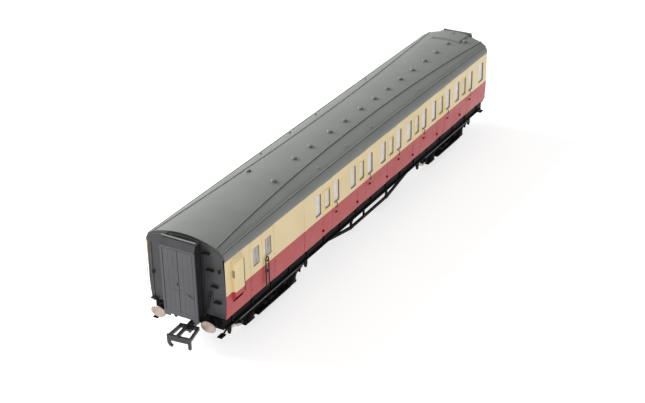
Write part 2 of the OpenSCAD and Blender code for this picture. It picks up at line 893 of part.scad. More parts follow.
module bogie_side() {
    // one moulded side frame on +Y, centred on the bogie, with axleboxes and footboard
    y0 = frame_y;
    y1 = frame_y + frame_thickness;
    dip = frame_top - 3.2;                 // underside of the frame over the springs
    difference() {
        union() {
            translate([0, y1, 0]) rotate([90, 0, 0]) linear_extrude(frame_thickness)
                polygon([[-frame_half_l, frame_top], [-frame_half_l, frame_top - 2.2],
                         [-axle_x - 4.6, dip], [-axle_x - 3.4, frame_bottom],
                         [-axle_x + 3.4, frame_bottom], [-axle_x + 4.6, dip],
                         [-7, dip], [-5, frame_bottom], [5, frame_bottom], [7, dip],
                         [axle_x - 4.6, dip], [axle_x - 3.4, frame_bottom],
                         [axle_x + 3.4, frame_bottom], [axle_x + 4.6, dip],
                         [frame_half_l, frame_top - 2.2], [frame_half_l, frame_top]]);
            box(-frame_half_l, frame_half_l, y1 - eps, y1 + flange_out, frame_top - 0.5, frame_top);
            for (s = [-1, 1]) {
                box(s * axle_x - 2, s * axle_x + 2, y1 - eps, y1 + 1.7, box_bottom, axle_z + 1);
                box(s * axle_x - 2.6, s * axle_x + 2.6, y0, y1 + 0.8, box_bottom, frame_bottom + eps);
                translate([s * guard_x, y1 - 0.3, 0]) rotate([90, 0, 0]) linear_extrude(0.8)
                    polygon([[-0.5, 5.0], [0.5, 5.0], [1, 7], [1, frame_top - 0.6], [-1, frame_top - 0.6],
                             [-1, 7]]);
            }
            box(-guard_x, guard_x, y1 - 1.1, y1 - 0.3, frame_top - 1.4, frame_top - 0.4);
            box(-board_half_l, board_half_l, y1 + 0.4, y1 + board_out, board_z, board_z + 0.6);
            for (x = [-board_half_l + 2, 0, board_half_l - 2])
                box(x - 0.7, x + 0.7, y1 - eps, y1 + 0.6, board_z, frame_top - 1);
        }
        for (s = [-1, 1]) bearing(s * axle_x);
    }
}

module bogie_frame(side) {
    // both side frames, the bolster across them and the two end beams
    bolster_z = frame_bottom + 1.5;
    beam_x = frame_half_l - beam;
    color(frame_black) translate([side * bogie_x, 0, 0]) difference() {
        union() {
            for (s = [0, 1]) mirror([0, s, 0]) bogie_side();
            box(-4.5, 4.5, -frame_y - eps, frame_y + eps, bolster_z, frame_top);
            rod_z(0, 0, frame_top - eps, bolster_top, pivot_pad_r);
            for (s = [-1, 1])
                box(s > 0 ? beam_x : -frame_half_l, s > 0 ? frame_half_l : -beam_x,
                    -frame_y - eps, frame_y + eps, frame_top - 2.4, frame_top - 0.4);
        }
        rod_z(0, 0, bolster_z - cut, bolster_top + cut, pivot_r + pivot_clearance);
    }
}

module bogie_frame_brake() {
    bogie_frame(-1);
}

module bogie_frame_lavatory() {
    bogie_frame(1);
}

module bogie_pivot(side) {
    // the screw that holds the bogie: shank up into the floor, head under the bolster
    color(steel) {
        rod_z(side * bogie_x, 0, pivot_head_z, ballast_z - pivot_skin, pivot_r);
        rod_z(side * bogie_x, 0, pivot_head_z - pivot_head, pivot_head_z + eps, pivot_head_r);
    }
}

module bogie_pivot_brake() {
    bogie_pivot(-1);
}

module bogie_pivot_lavatory() {
    bogie_pivot(1);
}

module wheel() {
    // flanged wheel with its back on y = 0 and its face outwards, axle along Y
    rotate([-90, 0, 0])
        rotate_extrude() polygon([[0, 0], [flange_r, 0], [flange_r, 0.45], [wheel_r + 0.1, 0.9],
                                  [wheel_r, wheel_width], [wheel_r - 1.2, wheel_width],
                                  [wheel_r - 1.5, wheel_width - 0.7], [2.2, wheel_width - 0.7],
                                  [2.0, wheel_width], [0, wheel_width]]);
}

module wheelset(x) {
    // two wheels on a plain axle that ends in cones
    shoulder = axle_length / 2 - pinpoint;
    color(steel) translate([x, 0, axle_z]) union() {
        rod_y(0, -shoulder, shoulder, 0, axle_r);
        for (s = [0, 1]) mirror([0, s, 0]) {
            translate([0, back_to_back / 2, 0]) wheel();
            translate([0, shoulder - eps, 0]) rotate([-90, 0, 0])
                cylinder(r1 = axle_r, r2 = pinpoint_r, h = pinpoint + eps);
        }
    }
}

module wheelset_1() {
    wheelset(-bogie_x - axle_x);
}

module wheelset_2() {
    wheelset(-bogie_x + axle_x);
}

module wheelset_3() {
    wheelset(bogie_x - axle_x);
}

module wheelset_4() {
    wheelset(bogie_x + axle_x);
}

// ---------- couplings ----------

bar_thickness = 0.9;
arm_thickness = 1.0;
arm_root = 8;                              // distance from pivot to the cross piece
hook_pin = 10;                             // distance from pivot to the hook's pin
bar_top = 1.0;
bar_bottom = -1.4;
hook_width = 1.3;
pin_r = 0.5;

module coupling_place(side) {
    // local frame: pivot at the origin, the coupling reaching along -X
    place_end(side) translate([-coupling_pivot_x, 0, coupling_height])
        rotate([0, 0, coupling_angle]) children();
}

module coupling(side) {
    // open frame with a bar across its front, a hook under one end and a tab under the other
    w = coupling_width / 2;
    front = coupling_reach - bar_thickness;
    color(frame_black) coupling_place(side) difference() {
        union() {
            rod_z(0, 0, -coupling_boss_h, coupling_boss_h, coupling_boss_r);
            box(-arm_root, 0, -1.4, 1.4, -0.9, 0.9);
            box(-arm_root - 0.8, -arm_root, -4.2, 4.2, -0.7, 0.9);
            for (s = [0, 1]) mirror([0, s, 0])
                translate([0, 0, -0.6]) linear_extrude(1.2)
                    polygon([[-arm_root, 4.2], [-arm_root, 3.2],
                             [-front - eps, w - arm_thickness], [-front - eps, w]]);
            along_x(-coupling_reach, -front) polygon([
                [-w, bar_top], [-w, bar_bottom - 2.5], [-w + 1.1, bar_bottom - 2.5], [-w + 1.1, bar_bottom],
                [w - 1.2, bar_bottom], [w - 1.5, -3], [w - 2.4, -3.7], [w - 2.1, -4.4], [w - 0.9, -4],
                [w - 0.1, -2.6], [w, bar_top]]);
            for (s = [-1, 1])
                box(-hook_pin - 0.9, -arm_root, s * 1.3 - 0.4, s * 1.3 + 0.4, -0.7, 0.9);
        }
        rod_y(-hook_pin, -3, 3, 0, pin_r + 0.05);
    }
}

module coupling_brake() {
    coupling(-1);
}

module coupling_lavatory() {
    coupling(1);
}

module coupling_hook(side) {
    // the lifting hook: a flat arm on its own pin, resting on top of the bar
    rest = bar_top + coupling_gap;
    color(frame_black) coupling_place(side) union() {
        rod_y(-hook_pin, -1.7, 1.7, 0, pin_r);
        translate([0, hook_width / 2, 0]) rotate([90, 0, 0]) linear_extrude(hook_width)
            polygon([[-hook_pin + 0.6, -0.5], [-hook_pin + 0.6, 0.6], [-hook_pin - 1.6, rest + 0.9],
                     [-coupling_reach - 0.9, rest + 0.9], [-coupling_reach - 1.5, rest + 0.4],
                     [-coupling_reach - 0.5, rest], [-hook_pin - 1.3, rest],
                     [-hook_pin - 0.6, -0.5]]);
    }
}

module coupling_hook_brake() {
    coupling_hook(-1);
}

module coupling_hook_lavatory() {
    coupling_hook(1);
}

compartment_side();
corridor_side();
brake_end_wall();
lavatory_end_wall();
roof();
rain_strips();
roof_vents();
tank_cover();
compartment_glazing();
corridor_glazing();
interior();
seats();
ballast_plate();
underframe_floor();
solebar_compartment();
solebar_corridor();
headstock_brake();
headstock_lavatory();
truss_compartment();
truss_corridor();
battery_boxes();
vacuum_cylinders();
corner_steps();
buffers_brake();
buffers_lavatory();
gangway_brake();
gangway_lavatory();
gangway_doors_brake();
gangway_doors_lavatory();
end_fittings_brake();
end_fittings_lavatory();
ducket_compartment();
ducket_corridor();
grab_rails();
bogie_frame_brake();
bogie_frame_lavatory();
bogie_pivot_brake();
bogie_pivot_lavatory();
wheelset_1();
wheelset_2();
wheelset_3();
wheelset_4();
coupling_brake();
coupling_lavatory();
coupling_hook_brake();
coupling_hook_lavatory();
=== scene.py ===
"""Looks of a model railway coach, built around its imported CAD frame."""

from math import asin, copysign, cos, hypot, pi, radians, sin, sqrt

import bmesh
import bpy
from mathutils import Matrix, Vector


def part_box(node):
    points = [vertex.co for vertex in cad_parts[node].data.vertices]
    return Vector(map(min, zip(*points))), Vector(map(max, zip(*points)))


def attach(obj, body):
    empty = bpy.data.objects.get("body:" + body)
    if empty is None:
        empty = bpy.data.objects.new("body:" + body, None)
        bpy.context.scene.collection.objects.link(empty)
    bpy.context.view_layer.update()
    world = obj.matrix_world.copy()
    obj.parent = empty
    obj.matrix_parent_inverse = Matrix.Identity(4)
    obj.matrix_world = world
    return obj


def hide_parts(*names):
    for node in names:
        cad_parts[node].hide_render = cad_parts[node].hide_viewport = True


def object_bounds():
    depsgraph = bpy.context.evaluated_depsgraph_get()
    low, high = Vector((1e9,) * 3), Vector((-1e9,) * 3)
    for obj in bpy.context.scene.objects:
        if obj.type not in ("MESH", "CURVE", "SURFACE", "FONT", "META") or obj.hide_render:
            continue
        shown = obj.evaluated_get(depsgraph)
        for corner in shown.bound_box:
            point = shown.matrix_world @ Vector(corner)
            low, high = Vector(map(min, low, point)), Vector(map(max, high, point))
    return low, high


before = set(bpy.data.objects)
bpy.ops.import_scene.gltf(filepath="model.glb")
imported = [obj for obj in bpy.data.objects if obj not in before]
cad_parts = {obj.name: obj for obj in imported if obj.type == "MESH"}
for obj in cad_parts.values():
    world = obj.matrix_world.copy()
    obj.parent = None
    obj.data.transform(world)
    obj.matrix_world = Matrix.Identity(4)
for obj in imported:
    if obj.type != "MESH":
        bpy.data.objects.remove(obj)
cad_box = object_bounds()
MM = 0.001
ENDS = (("brake", -1), ("lavatory", 1))
SIDES = (-1, 1)


def placed(name, data):
    """A new object in the scene that shows data."""
    thing = bpy.data.objects.new(name, data)
    bpy.context.scene.collection.objects.link(thing)
    return thing


def mirrored(sign):
    """Things are drawn on +Y; a sign of -1 puts them on -Y, with x as it was."""
    return Matrix.Diagonal((1, sign, 1, 1))


# ---------- camera, light and floor ----------

CAMERA_PLACE = Vector((-479.27, -275.42, 301.65))
CAMERA_ANGLES = (30.72, 27.92, -1.10)      # yaw, pitch and roll in degrees
CAMERA_LENS = 77.11
FLOOR_REACH = 12.0                         # metres from the middle to each edge


def make_camera():
    yaw, pitch, roll = (radians(a) for a in CAMERA_ANGLES)
    look = Vector((cos(yaw) * cos(pitch), sin(yaw) * cos(pitch), -sin(pitch)))
    right = look.cross(Vector((0, 0, 1))).normalized()
    up = right.cross(look)
    place = Matrix((right * cos(roll) + up * sin(roll), up * cos(roll) - right * sin(roll),
        -look)).transposed().to_4x4()
    place.translation = CAMERA_PLACE * MM
    camera = placed("camera", bpy.data.cameras.new("camera"))
    camera.data.lens = CAMERA_LENS
    camera.data.sensor_width = 36
    camera.data.clip_start = 0.01
    camera.matrix_world = place
    bpy.context.scene.camera = camera


def add_light(name, place, size, power):
    """A square soft light at place, in metres, aimed at the middle of the coach."""
    light = bpy.data.lights.new(name, "AREA")
    light.size = size
    light.energy = power
    lamp = placed(name, light)
    lamp.location = place
    lamp.rotation_euler = (Vector((0, 0, 0.03)) - Vector(place)).to_track_quat("-Z", "Y").to_euler()


def light_studio():
    scene = bpy.context.scene
    scene.view_settings.view_transform = "Standard"
    scene.world = bpy.data.worlds.new("studio")
    scene.world.use_nodes = True
    sky = scene.world.node_tree.nodes["Background"]
    sky.inputs["Color"].default_value = (1.0, 1.0, 1.0, 1)
    sky.inputs["Strength"].default_value = 0.60
    add_light("key", (-0.25, 1.1, 0.7), 0.6, 27)
    add_light("front", (-1.2, -0.7, 0.7), 0.3, 5)


# ---------- materials ----------


class Paint:
    """A node material round one Principled shader, with short names for the nodes it needs."""

    def __init__(self, name):
        self.material = bpy.data.materials.new(name)
        self.material.use_nodes = True
        self.tree = self.material.node_tree
        self.shader = self.tree.nodes["Principled BSDF"]
        self.place = self.node("ShaderNodeTexCoord").outputs["Object"]
        self.normal = self.node("ShaderNodeNewGeometry").outputs["Normal"]

    def node(self, kind, links=None, **settings):
        made = self.tree.nodes.new(kind)
        for key, value in settings.items():
            setattr(made, key, value)
        for socket, value in (links or {}).items():
            self.feed(made.inputs[socket], value)
        return made

    def feed(self, socket, value):
        if isinstance(value, bpy.types.NodeSocket):
            self.tree.links.new(value, socket)
        else:
            socket.default_value = value

    def noise(self, size, detail=3.0, stretch=None, roughness=0.55):
        """Noise whose lumps are about size millimetres across."""
        place = self.place
        if stretch:
            place = self.node("ShaderNodeMapping", {0: place, 3: stretch}).outputs[0]
        links = {"Vector": place, "Scale": 1 / (size * MM), "Detail": detail, "Roughness": roughness}
        return self.node("ShaderNodeTexNoise", links).outputs[0]

    def remap(self, value, low, high, to_low, to_high):
        links = {0: value, 1: low, 2: high, 3: to_low, 4: to_high}
        return self.node("ShaderNodeMapRange", links).outputs[0]

    def math(self, operation, a, b=0.0):
        return self.node("ShaderNodeMath", {0: a, 1: b}, operation=operation).outputs[0]

    def mix(self, share, a, b, blend="MIX"):
        links = {0: share, 6: a, 7: b}
        return self.node("ShaderNodeMix", links, data_type="RGBA", blend_type=blend).outputs[2]

    def axis(self, vector, index):
        return self.node("ShaderNodeSeparateXYZ", {0: vector}).outputs[index]

    def bump(self, height, strength, depth, below=None):
        """Relief of depth millimetres, laid over the relief below it."""
        links = {"Height": height, "Strength": strength, "Distance": depth * MM}
        if below is not None:
            links["Normal"] = below
        return self.node("ShaderNodeBump", links).outputs[0]

    def set(self, **values):
        for name, value in values.items():
            self.feed(self.shader.inputs[name.replace("_", " ")], value)
        return self


def rgb(r, g, b):
    return (r, g, b, 1)


DUST = rgb(0.30, 0.27, 0.23)


def moulded(name, colour, tone, rough=(0.36, 0.5), grain=0.3, relief=0.012, dust=0.1, specular=0.5,
        coat=0.0):
    """Painted or self-coloured plastic: mottled tone, fine grain, sink waves and a film of dust."""
    paint = Paint(name)
    broad = paint.noise(14, 4)
    fine = paint.noise(grain, 2)
    shade = paint.mix(paint.remap(broad, 0.35, 0.65, 0, 1), rgb(*colour), rgb(*tone))
    shade = paint.mix(0.10, shade, paint.remap(fine, 0.3, 0.7, 0.35, 0.65), "SOFT_LIGHT")
    up = paint.remap(paint.axis(paint.normal, 2), 0.3, 1.0, 0, dust)
    film = paint.math("MULTIPLY", up, paint.remap(paint.noise(3.5, 5), 0.3, 0.75, 0.25, 1))
    streaks = paint.remap(paint.noise(2.2, 4, (1, 1, 0.18)), 0.5, 0.8, 0, dust * 0.45)
    shade = paint.mix(paint.math("ADD", film, streaks), shade, DUST)
    gloss = paint.math("ADD", paint.remap(paint.noise(5, 4), 0.3, 0.7, *rough),
        paint.math("MULTIPLY", film, 0.6))
    waves = paint.bump(broad, 0.25, 0.05)
    paint.set(Base_Color=shade, Roughness=gloss, Normal=paint.bump(fine, 0.5, relief, waves),
        Specular_IOR_Level=specular, Coat_Weight=coat)
    paint.shader.inputs["Coat Roughness"].default_value = 0.25
    return paint.material


def plated(name, colour, tarnish, rough, brushed=(1, 14, 14), metallic=1.0):
    """Bare or plated metal: fine turning marks, tarnish in patches and small scratches."""
    paint = Paint(name)
    marks = paint.noise(1.6, 3, brushed)
    patches = paint.noise(2.4, 5)
    share = paint.remap(patches, 0.42, 0.7, 0, 0.75)
    scratches = paint.noise(0.5, 2, (9, 1, 2))
    gloss = paint.math("ADD", paint.remap(marks, 0.3, 0.7, rough - 0.06, rough + 0.08),
        paint.math("MULTIPLY", share, 0.18))
    relief = paint.bump(scratches, 0.25, 0.01, paint.bump(marks, 0.35, 0.012))
    paint.set(Base_Color=paint.mix(share, rgb(*colour), rgb(*tarnish)), Roughness=gloss, Metallic=metallic,
        Normal=relief)
    return paint.material


def clear_plastic(name, tint, bright, clear):
    """Thin clear glazing: seen through, with a pale veil, mould ripple, a glossy face and pale streaks that
    are part smear and part painted reflection.
    """
    paint = Paint(name)
    ripple = paint.bump(paint.noise(3.2, 2), 0.35, 0.05)
    smears_and_glints = paint.noise(1.8, 4, (1, 1, 0.5))
    paint.set(Base_Color=paint.mix(paint.remap(smears_and_glints, 0.35, 0.65, 0, 1), rgb(*tint), rgb(*bright)),
        Roughness=paint.remap(smears_and_glints, 0.3, 0.7, 0.04, 0.14), Normal=ripple)
    fresnel = paint.node("ShaderNodeFresnel", {"IOR": 1.5, "Normal": ripple}).outputs[0]
    veil = paint.remap(smears_and_glints, 0.3, 0.7, 0.30, 0.42)
    clear = paint.node("ShaderNodeBsdfTransparent", {"Color": rgb(*clear)})
    share = paint.math("ADD", veil, fresnel)
    both = paint.node("ShaderNodeMixShader", {0: share})
    paint.tree.links.new(clear.outputs[0], both.inputs[1])
    paint.tree.links.new(paint.shader.outputs[0], both.inputs[2])
    out = paint.tree.nodes["Material Output"]
    paint.tree.links.new(both.outputs[0], out.inputs["Surface"])
    return paint.material


def woven(name, colour, tone):
    """Moulded seating painted as a small check cloth."""
    paint = Paint(name)
    checks = paint.node("ShaderNodeTexChecker", {"Vector": paint.place, "Scale": 1 / (0.9 * MM)})
    nap = paint.noise(0.35, 3)
    shade = paint.mix(paint.math("MULTIPLY", checks.outputs[1], 0.35), rgb(*colour), rgb(*tone))
    shade = paint.mix(0.3, shade, paint.remap(nap, 0.3, 0.7, 0.25, 0.75), "SOFT_LIGHT")
    paint.set(Base_Color=shade, Roughness=paint.remap(nap, 0.3, 0.7, 0.75, 0.95),
        Normal=paint.bump(nap, 0.6, 0.03))
    return paint.material


def floor_paper(name):
    """Pale paper, lit a little from behind so that the shadows on it stay light."""
    paint = Paint(name)
    shade = paint.remap(paint.noise(60, 3), 0.3, 0.7, 0.49, 0.51)
    paint.set(Base_Color=shade, Roughness=0.85, Specular_IOR_Level=0.1, Emission_Strength=0.66)
    paint.shader.inputs["Emission Color"].default_value = rgb(1, 1, 1)
    return paint.material


CREAM = moulded("cream_paint", (0.70, 0.565, 0.315), (0.665, 0.53, 0.285), dust=0.05, coat=0.15)
CREAM_FRAME = moulded("cream_frame_paint", (0.74, 0.57, 0.17), (0.69, 0.52, 0.15), dust=0.03, coat=0.15)
CRIMSON = moulded("crimson_paint", (0.42, 0.042, 0.046), (0.39, 0.036, 0.040), dust=0.04, coat=0.1)
REVEAL = moulded("window_reveal", (0.21, 0.175, 0.09), (0.17, 0.14, 0.08), rough=(0.55, 0.7), dust=0.05)
ROOF = moulded("roof_paint", (0.165, 0.178, 0.168), (0.150, 0.162, 0.153), rough=(0.34, 0.46), relief=0.02,
    dust=0.10)
END = moulded("end_paint", (0.028, 0.028, 0.031), (0.036, 0.036, 0.040), rough=(0.38, 0.52), dust=0.05)
FACE = moulded("gangway_paint", (0.070, 0.071, 0.079), (0.060, 0.061, 0.068), rough=(0.42, 0.56), dust=0.06)
BLACK = moulded("frame_black", (0.004, 0.004, 0.004), (0.008, 0.007, 0.007), rough=(0.34, 0.48), dust=0.004,
    relief=0.02, specular=0.04)
BELLOWS = moulded("bellows_black", (0.006, 0.006, 0.006), (0.012, 0.012, 0.012), rough=(0.6, 0.78),
    grain=0.5, relief=0.04, dust=0.015, specular=0.15)
WIRE = moulded("wire_black", (0.006, 0.006, 0.006), (0.012, 0.011, 0.010), rough=(0.28, 0.4), dust=0.01,
    specular=0.3)
COUPLER = moulded("coupling_black", (0.012, 0.012, 0.013), (0.022, 0.022, 0.023), rough=(0.26, 0.38),
    dust=0.02)
# pale grey used as a painted highlight on glossy black edges
PAINTED_HIGHLIGHT = moulded("painted_edge_highlight", (0.36, 0.34, 0.36), (0.24, 0.23, 0.24), rough=(0.3, 0.42), dust=0.02)
# dark red: the colour of handles and hinges, also used as painted shade under the guard's lookout
DARK_RED = moulded("dark_red", (0.12, 0.005, 0.009), (0.09, 0.004, 0.007), rough=(0.4, 0.5), dust=0,
    specular=0)
BEAD_FOOT_LINE = moulded("bead_foot_line", (0.045, 0.050, 0.048), (0.035, 0.040, 0.038), rough=(0.5, 0.6), dust=0.02)
OLIVE = moulded("joint_shadow", (0.16, 0.12, 0.045), (0.12, 0.09, 0.035), rough=(0.5, 0.6), dust=0,
    specular=0)
TAN = moulded("interior_tan", (0.60, 0.47, 0.37), (0.54, 0.42, 0.32), rough=(0.5, 0.62), dust=0.04)
SEAT = woven("seat_cloth", (0.30, 0.07, 0.06), (0.42, 0.12, 0.08))
CLOTH = woven("headrest_cloth", (0.62, 0.58, 0.50), (0.55, 0.50, 0.42))
GLASS = clear_plastic("glazing", (0.58, 0.55, 0.55), (0.74, 0.70, 0.70), (0.76, 0.73, 0.72))
VAN_GLASS = clear_plastic("van_glazing", (0.25, 0.235, 0.215), (0.40, 0.38, 0.35), (0.50, 0.475, 0.44))
LAMP_GLASS = moulded("dark_pane", (0.10, 0.11, 0.12), (0.13, 0.14, 0.15), rough=(0.08, 0.16), dust=0.02)
STEEL = plated("ballast_steel", (0.56, 0.55, 0.53), (0.34, 0.25, 0.18), 0.42)
NICKEL = plated("buffer_metal", (0.44, 0.37, 0.33), (0.30, 0.24, 0.205), 0.36, (6, 6, 6))
TYRE = plated("tyre_metal", (0.62, 0.60, 0.57), (0.32, 0.28, 0.24), 0.30, (14, 1, 14))
SCREW = plated("pivot_steel", (0.55, 0.54, 0.52), (0.30, 0.25, 0.20), 0.32, (6, 6, 6))


# ---------- mesh building, in millimetres ----------

SHARP = radians(52)                   # edges sharper than this stay hard


def ring(x0, x1, z0, z1, r, steps=5):
    """A rectangle with rounded corners, as a list of points."""
    out = []
    corners = ((x1 - r, z1 - r, 0), (x0 + r, z1 - r, 90), (x0 + r, z0 + r, 180), (x1 - r, z0 + r, 270))
    for cx, cz, start in corners:
        for i in range(steps + 1):
            a = radians(start + 90 * i / steps)
            out.append((cx + r * cos(a), cz + r * sin(a)))
    return out


def rect(x0, x1, z0, z1):
    return [(x0, z0), (x1, z0), (x1, z1), (x0, z1)]


def cut_sheet(outers, holes, y0, y1, soften):
    """A flat sheet in X and Z with holes through it, from y0 to y1, as a bmesh."""
    curve = bpy.data.curves.new("cut", "CURVE")
    curve.dimensions = "2D"
    curve.fill_mode = "BOTH"
    curve.extrude = (y1 - y0) / 2 - soften
    curve.bevel_depth = soften
    curve.bevel_resolution = 1
    curve.offset = -soften
    for points in outers + holes:
        spline = curve.splines.new("POLY")
        spline.points.add(len(points) - 1)
        for point, (a, b) in zip(spline.points, points):
            point.co = (a, b, 0, 1)
        spline.use_cyclic_u = True
    thing = placed("cut", curve)
    bpy.context.view_layer.update()
    mesh = bpy.data.meshes.new_from_object(thing.evaluated_get(bpy.context.evaluated_depsgraph_get()))
    bpy.data.objects.remove(thing)
    bpy.data.curves.remove(curve)
    bm = bmesh.new()
    bm.from_mesh(mesh)
    bpy.data.meshes.remove(mesh)
    bmesh.ops.remove_doubles(bm, verts=bm.verts, dist=0.001)
    middle = (y0 + y1) / 2
    for v in bm.verts:
        v.co = (v.co.x, middle + v.co.z, v.co.y)
    bmesh.ops.recalc_face_normals(bm, faces=bm.faces)
    return bm


def across(axis, a, b, t):
    """The point at t along axis, with a and b in the other two directions."""
    return {"x": (t, a, b), "y": (a, t, b), "z": (a, b, t)}[axis]


def pulled(outline, low, high, axis="x"):
    """An outline of (y, z), (x, z) or (x, y) points pulled along axis between low and high."""
    bm = bmesh.new()
    ends = [[bm.verts.new(across(axis, a, b, t)) for a, b in outline] for t in sorted((low, high))]
    for end in ends:
        bm.faces.new(end)
    count = len(outline)
    for i in range(count):
        j = (i + 1) % count
        bm.faces.new((ends[0][i], ends[0][j], ends[1][j], ends[1][i]))
    return bm


class Shape:
    """One mesh put together from softened solids, each drawn at place in the material in use."""

    def __init__(self, *materials, place=Matrix.Identity(4)):
        self.bm = bmesh.new()
        self.materials = materials
        self.ink = 0
        self.place = place

    def use(self, material):
        self.ink = self.materials.index(material)

    def take(self, bm, soften=0.0, segments=2, keep_ink=False, over=30):
        if soften:
            edges = [e for e in bm.edges if len(e.link_faces) == 2 and e.calc_face_angle(0) > radians(over)]
            bmesh.ops.bevel(bm, geom=edges, offset=soften, segments=segments, profile=0.5, affect="EDGES",
                clamp_overlap=True)
        if not keep_ink:
            for f in bm.faces:
                f.material_index = self.ink
        bm.transform(self.place)
        bmesh.ops.recalc_face_normals(bm, faces=bm.faces)
        mesh = bpy.data.meshes.new("part")
        bm.to_mesh(mesh)
        bm.free()
        self.bm.from_mesh(mesh)
        bpy.data.meshes.remove(mesh)

    def box(self, x0, x1, y0, y1, z0, z1, soften=0.1):
        """A block between two opposite corners, whichever comes first."""
        bm = bmesh.new()
        bmesh.ops.create_cube(bm, size=1)
        size = Vector((abs(x1 - x0), abs(y1 - y0), z1 - z0))
        middle = Vector((x0 + x1, y0 + y1, z0 + z1)) / 2
        for v in bm.verts:
            v.co = middle + Vector(a * b for a, b in zip(v.co, size))
        self.take(bm, min(soften, min(abs(c) for c in size) * 0.45))

    def prism(self, outline, low, high, axis="x", soften=0.1, over=30):
        self.take(pulled(outline, low, high, axis), soften, over=over)

    def loft(self, rings, loop=False):
        """Skins rings of equally many points, given in space, into a capped bar or a loop."""
        bm = bmesh.new()
        rows = [[bm.verts.new(p) for p in points] for points in rings]
        count = len(rows[0])
        for a, b in zip(rows, rows[1:] + rows[:1] if loop else rows[1:]):
            for i in range(count):
                j = (i + 1) % count
                bm.faces.new((a[i], a[j], b[j], b[i]))
        for row in () if loop else (rows[0], rows[-1]):
            bm.faces.new(row)
        self.take(bm)

    def lathe(self, profile, centre, axis="y", steps=40, stretch=(1, 1), hollow=False):
        """Turns a profile of (radius, distance along axis) round a line through centre."""
        bm = bmesh.new()
        rows = []
        for r, t in profile:
            angles = [2 * pi * i / steps for i in range(steps if r > 1e-6 else 1)]
            points = [across(axis, r * stretch[0] * cos(a), r * stretch[1] * sin(a), t) for a in angles]
            rows.append([bm.verts.new([c + d for c, d in zip(centre, point)]) for point in points])
        for a, b in zip(rows, rows[1:] + rows[:1] if hollow else rows[1:]):
            for i in range(steps):
                j = (i + 1) % steps
                if len(a) == 1:
                    bm.faces.new((a[0], b[i], b[j]))
                elif len(b) == 1:
                    bm.faces.new((a[i], a[j], b[0]))
                else:
                    bm.faces.new((a[i], a[j], b[j], b[i]))
        for row in () if hollow else (rows[0], rows[-1]):
            if len(row) > 2:
                bm.faces.new(row)
        self.take(bm)

    def rod(self, start, end, radius, steps=12):
        """A round bar with chamfered ends between two points."""
        start, end = Vector(start), Vector(end)
        length = (end - start).length
        chamfer = min(radius * 0.3, length * 0.2)
        profile = [(radius - chamfer, 0), (radius, chamfer), (radius, length - chamfer),
            (radius - chamfer, length)]
        kept = self.place
        self.place = (kept @ Matrix.Translation(start)
            @ (end - start).to_track_quat("Z", "Y").to_matrix().to_4x4())
        self.lathe(profile, (0, 0, 0), "z", steps)
        self.place = kept

    def tube(self, path, radius, sides=10, loop=False):
        """A round wire along a path of points, without twist."""
        path = [Vector(p) for p in path]
        count = len(path)
        rings, side = [], None
        for i, p in enumerate(path):
            before = path[i - 1] if loop or i else p
            after = path[(i + 1) % count] if loop or i < count - 1 else p
            along = (after - before).normalized()
            if side is None:
                side = along.orthogonal().normalized()
            side = (side - along * side.dot(along)).normalized()
            other = along.cross(side)
            rings.append([p + (side * cos(a) + other * sin(a)) * radius
                for a in (2 * pi * k / sides for k in range(sides))])
        self.loft(rings, loop)

    def dome(self, x, y, z, r, axis="y", out=1, height=None):
        """A rivet or bolt head standing out along axis."""
        height = (height or r * 0.6) * out
        profile = [(r * cos(a), height * sin(a)) for a in (radians(d) for d in (0, 30, 60))]
        self.lathe(profile + [(0, height)], (x, y, z), axis, 10)

    def coil(self, x, y, z0, z1, r, wire, turns):
        steps = int(turns * 14)
        self.tube([(x + r * cos(2 * pi * turns * i / steps), y + r * sin(2 * pi * turns * i / steps),
            z0 + (z1 - z0) * i / steps) for i in range(steps + 1)], wire, 6)

    def done(self, name, slot, *nodes, body="coach_body"):
        """Makes the piece: smooth, hard where it is sharp, riding on its body."""
        mesh = bpy.data.meshes.new(name)
        self.bm.transform(Matrix.Scale(MM, 4))
        for e in self.bm.edges:
            e.smooth = len(e.link_faces) == 2 and e.calc_face_angle(0) < SHARP
        for f in self.bm.faces:
            f.smooth = True
        self.bm.to_mesh(mesh)
        self.bm.free()
        for material in self.materials:
            mesh.materials.append(material)
        piece = placed(name, mesh)
        even = piece.modifiers.new("even", "WEIGHTED_NORMAL")
        even.keep_sharp = True
        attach(piece, body)
        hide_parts(*nodes)


def mm_box(node):
    low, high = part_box(node)
    return low / MM, high / MM


def softened(name, node, soften=0.1, extra=None, body="coach_body", material=BLACK):
    """A copy of a CAD node with its edges rounded, with extra details drawn on it."""
    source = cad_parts[node].data
    bm = bmesh.new()
    bm.from_mesh(source)
    bm.transform(Matrix.Scale(1 / MM, 4))
    bmesh.ops.remove_doubles(bm, verts=bm.verts, dist=0.002)
    bmesh.ops.dissolve_limit(bm, angle_limit=radians(1), verts=bm.verts, edges=bm.edges)
    shape = Shape(material)
    shape.take(bm, soften)
    if extra:
        extra(shape)
    shape.done(name, "frame_black", node, body=body)


# ---------- sizes, taken from the CAD boxes ----------

roof_low, roof_high = mm_box("roof")
side_low, side_high = mm_box("corridor_side")
HALF_L, CROWN, EAVE_Z, EAVE_Y = roof_high.x, roof_high.z, roof_low.z, roof_high.y
HALF_W, BASE_Z = side_high.y, side_low.z
WAIST = BASE_Z + 10.3                      # where cream meets crimson
TUMBLEHOME = 0.6                           # how far the side has curved in at its base
SKIN = 0.14                                # the outer layer that carries the door joints
WALL = 1.2                                 # depth of the side behind its windows
JOINT = 0.13                               # width of a door joint
DOOR_TOP = EAVE_Z - 1.0
CANTRAIL = EAVE_Z - 0.95                   # the roof colour comes down to here

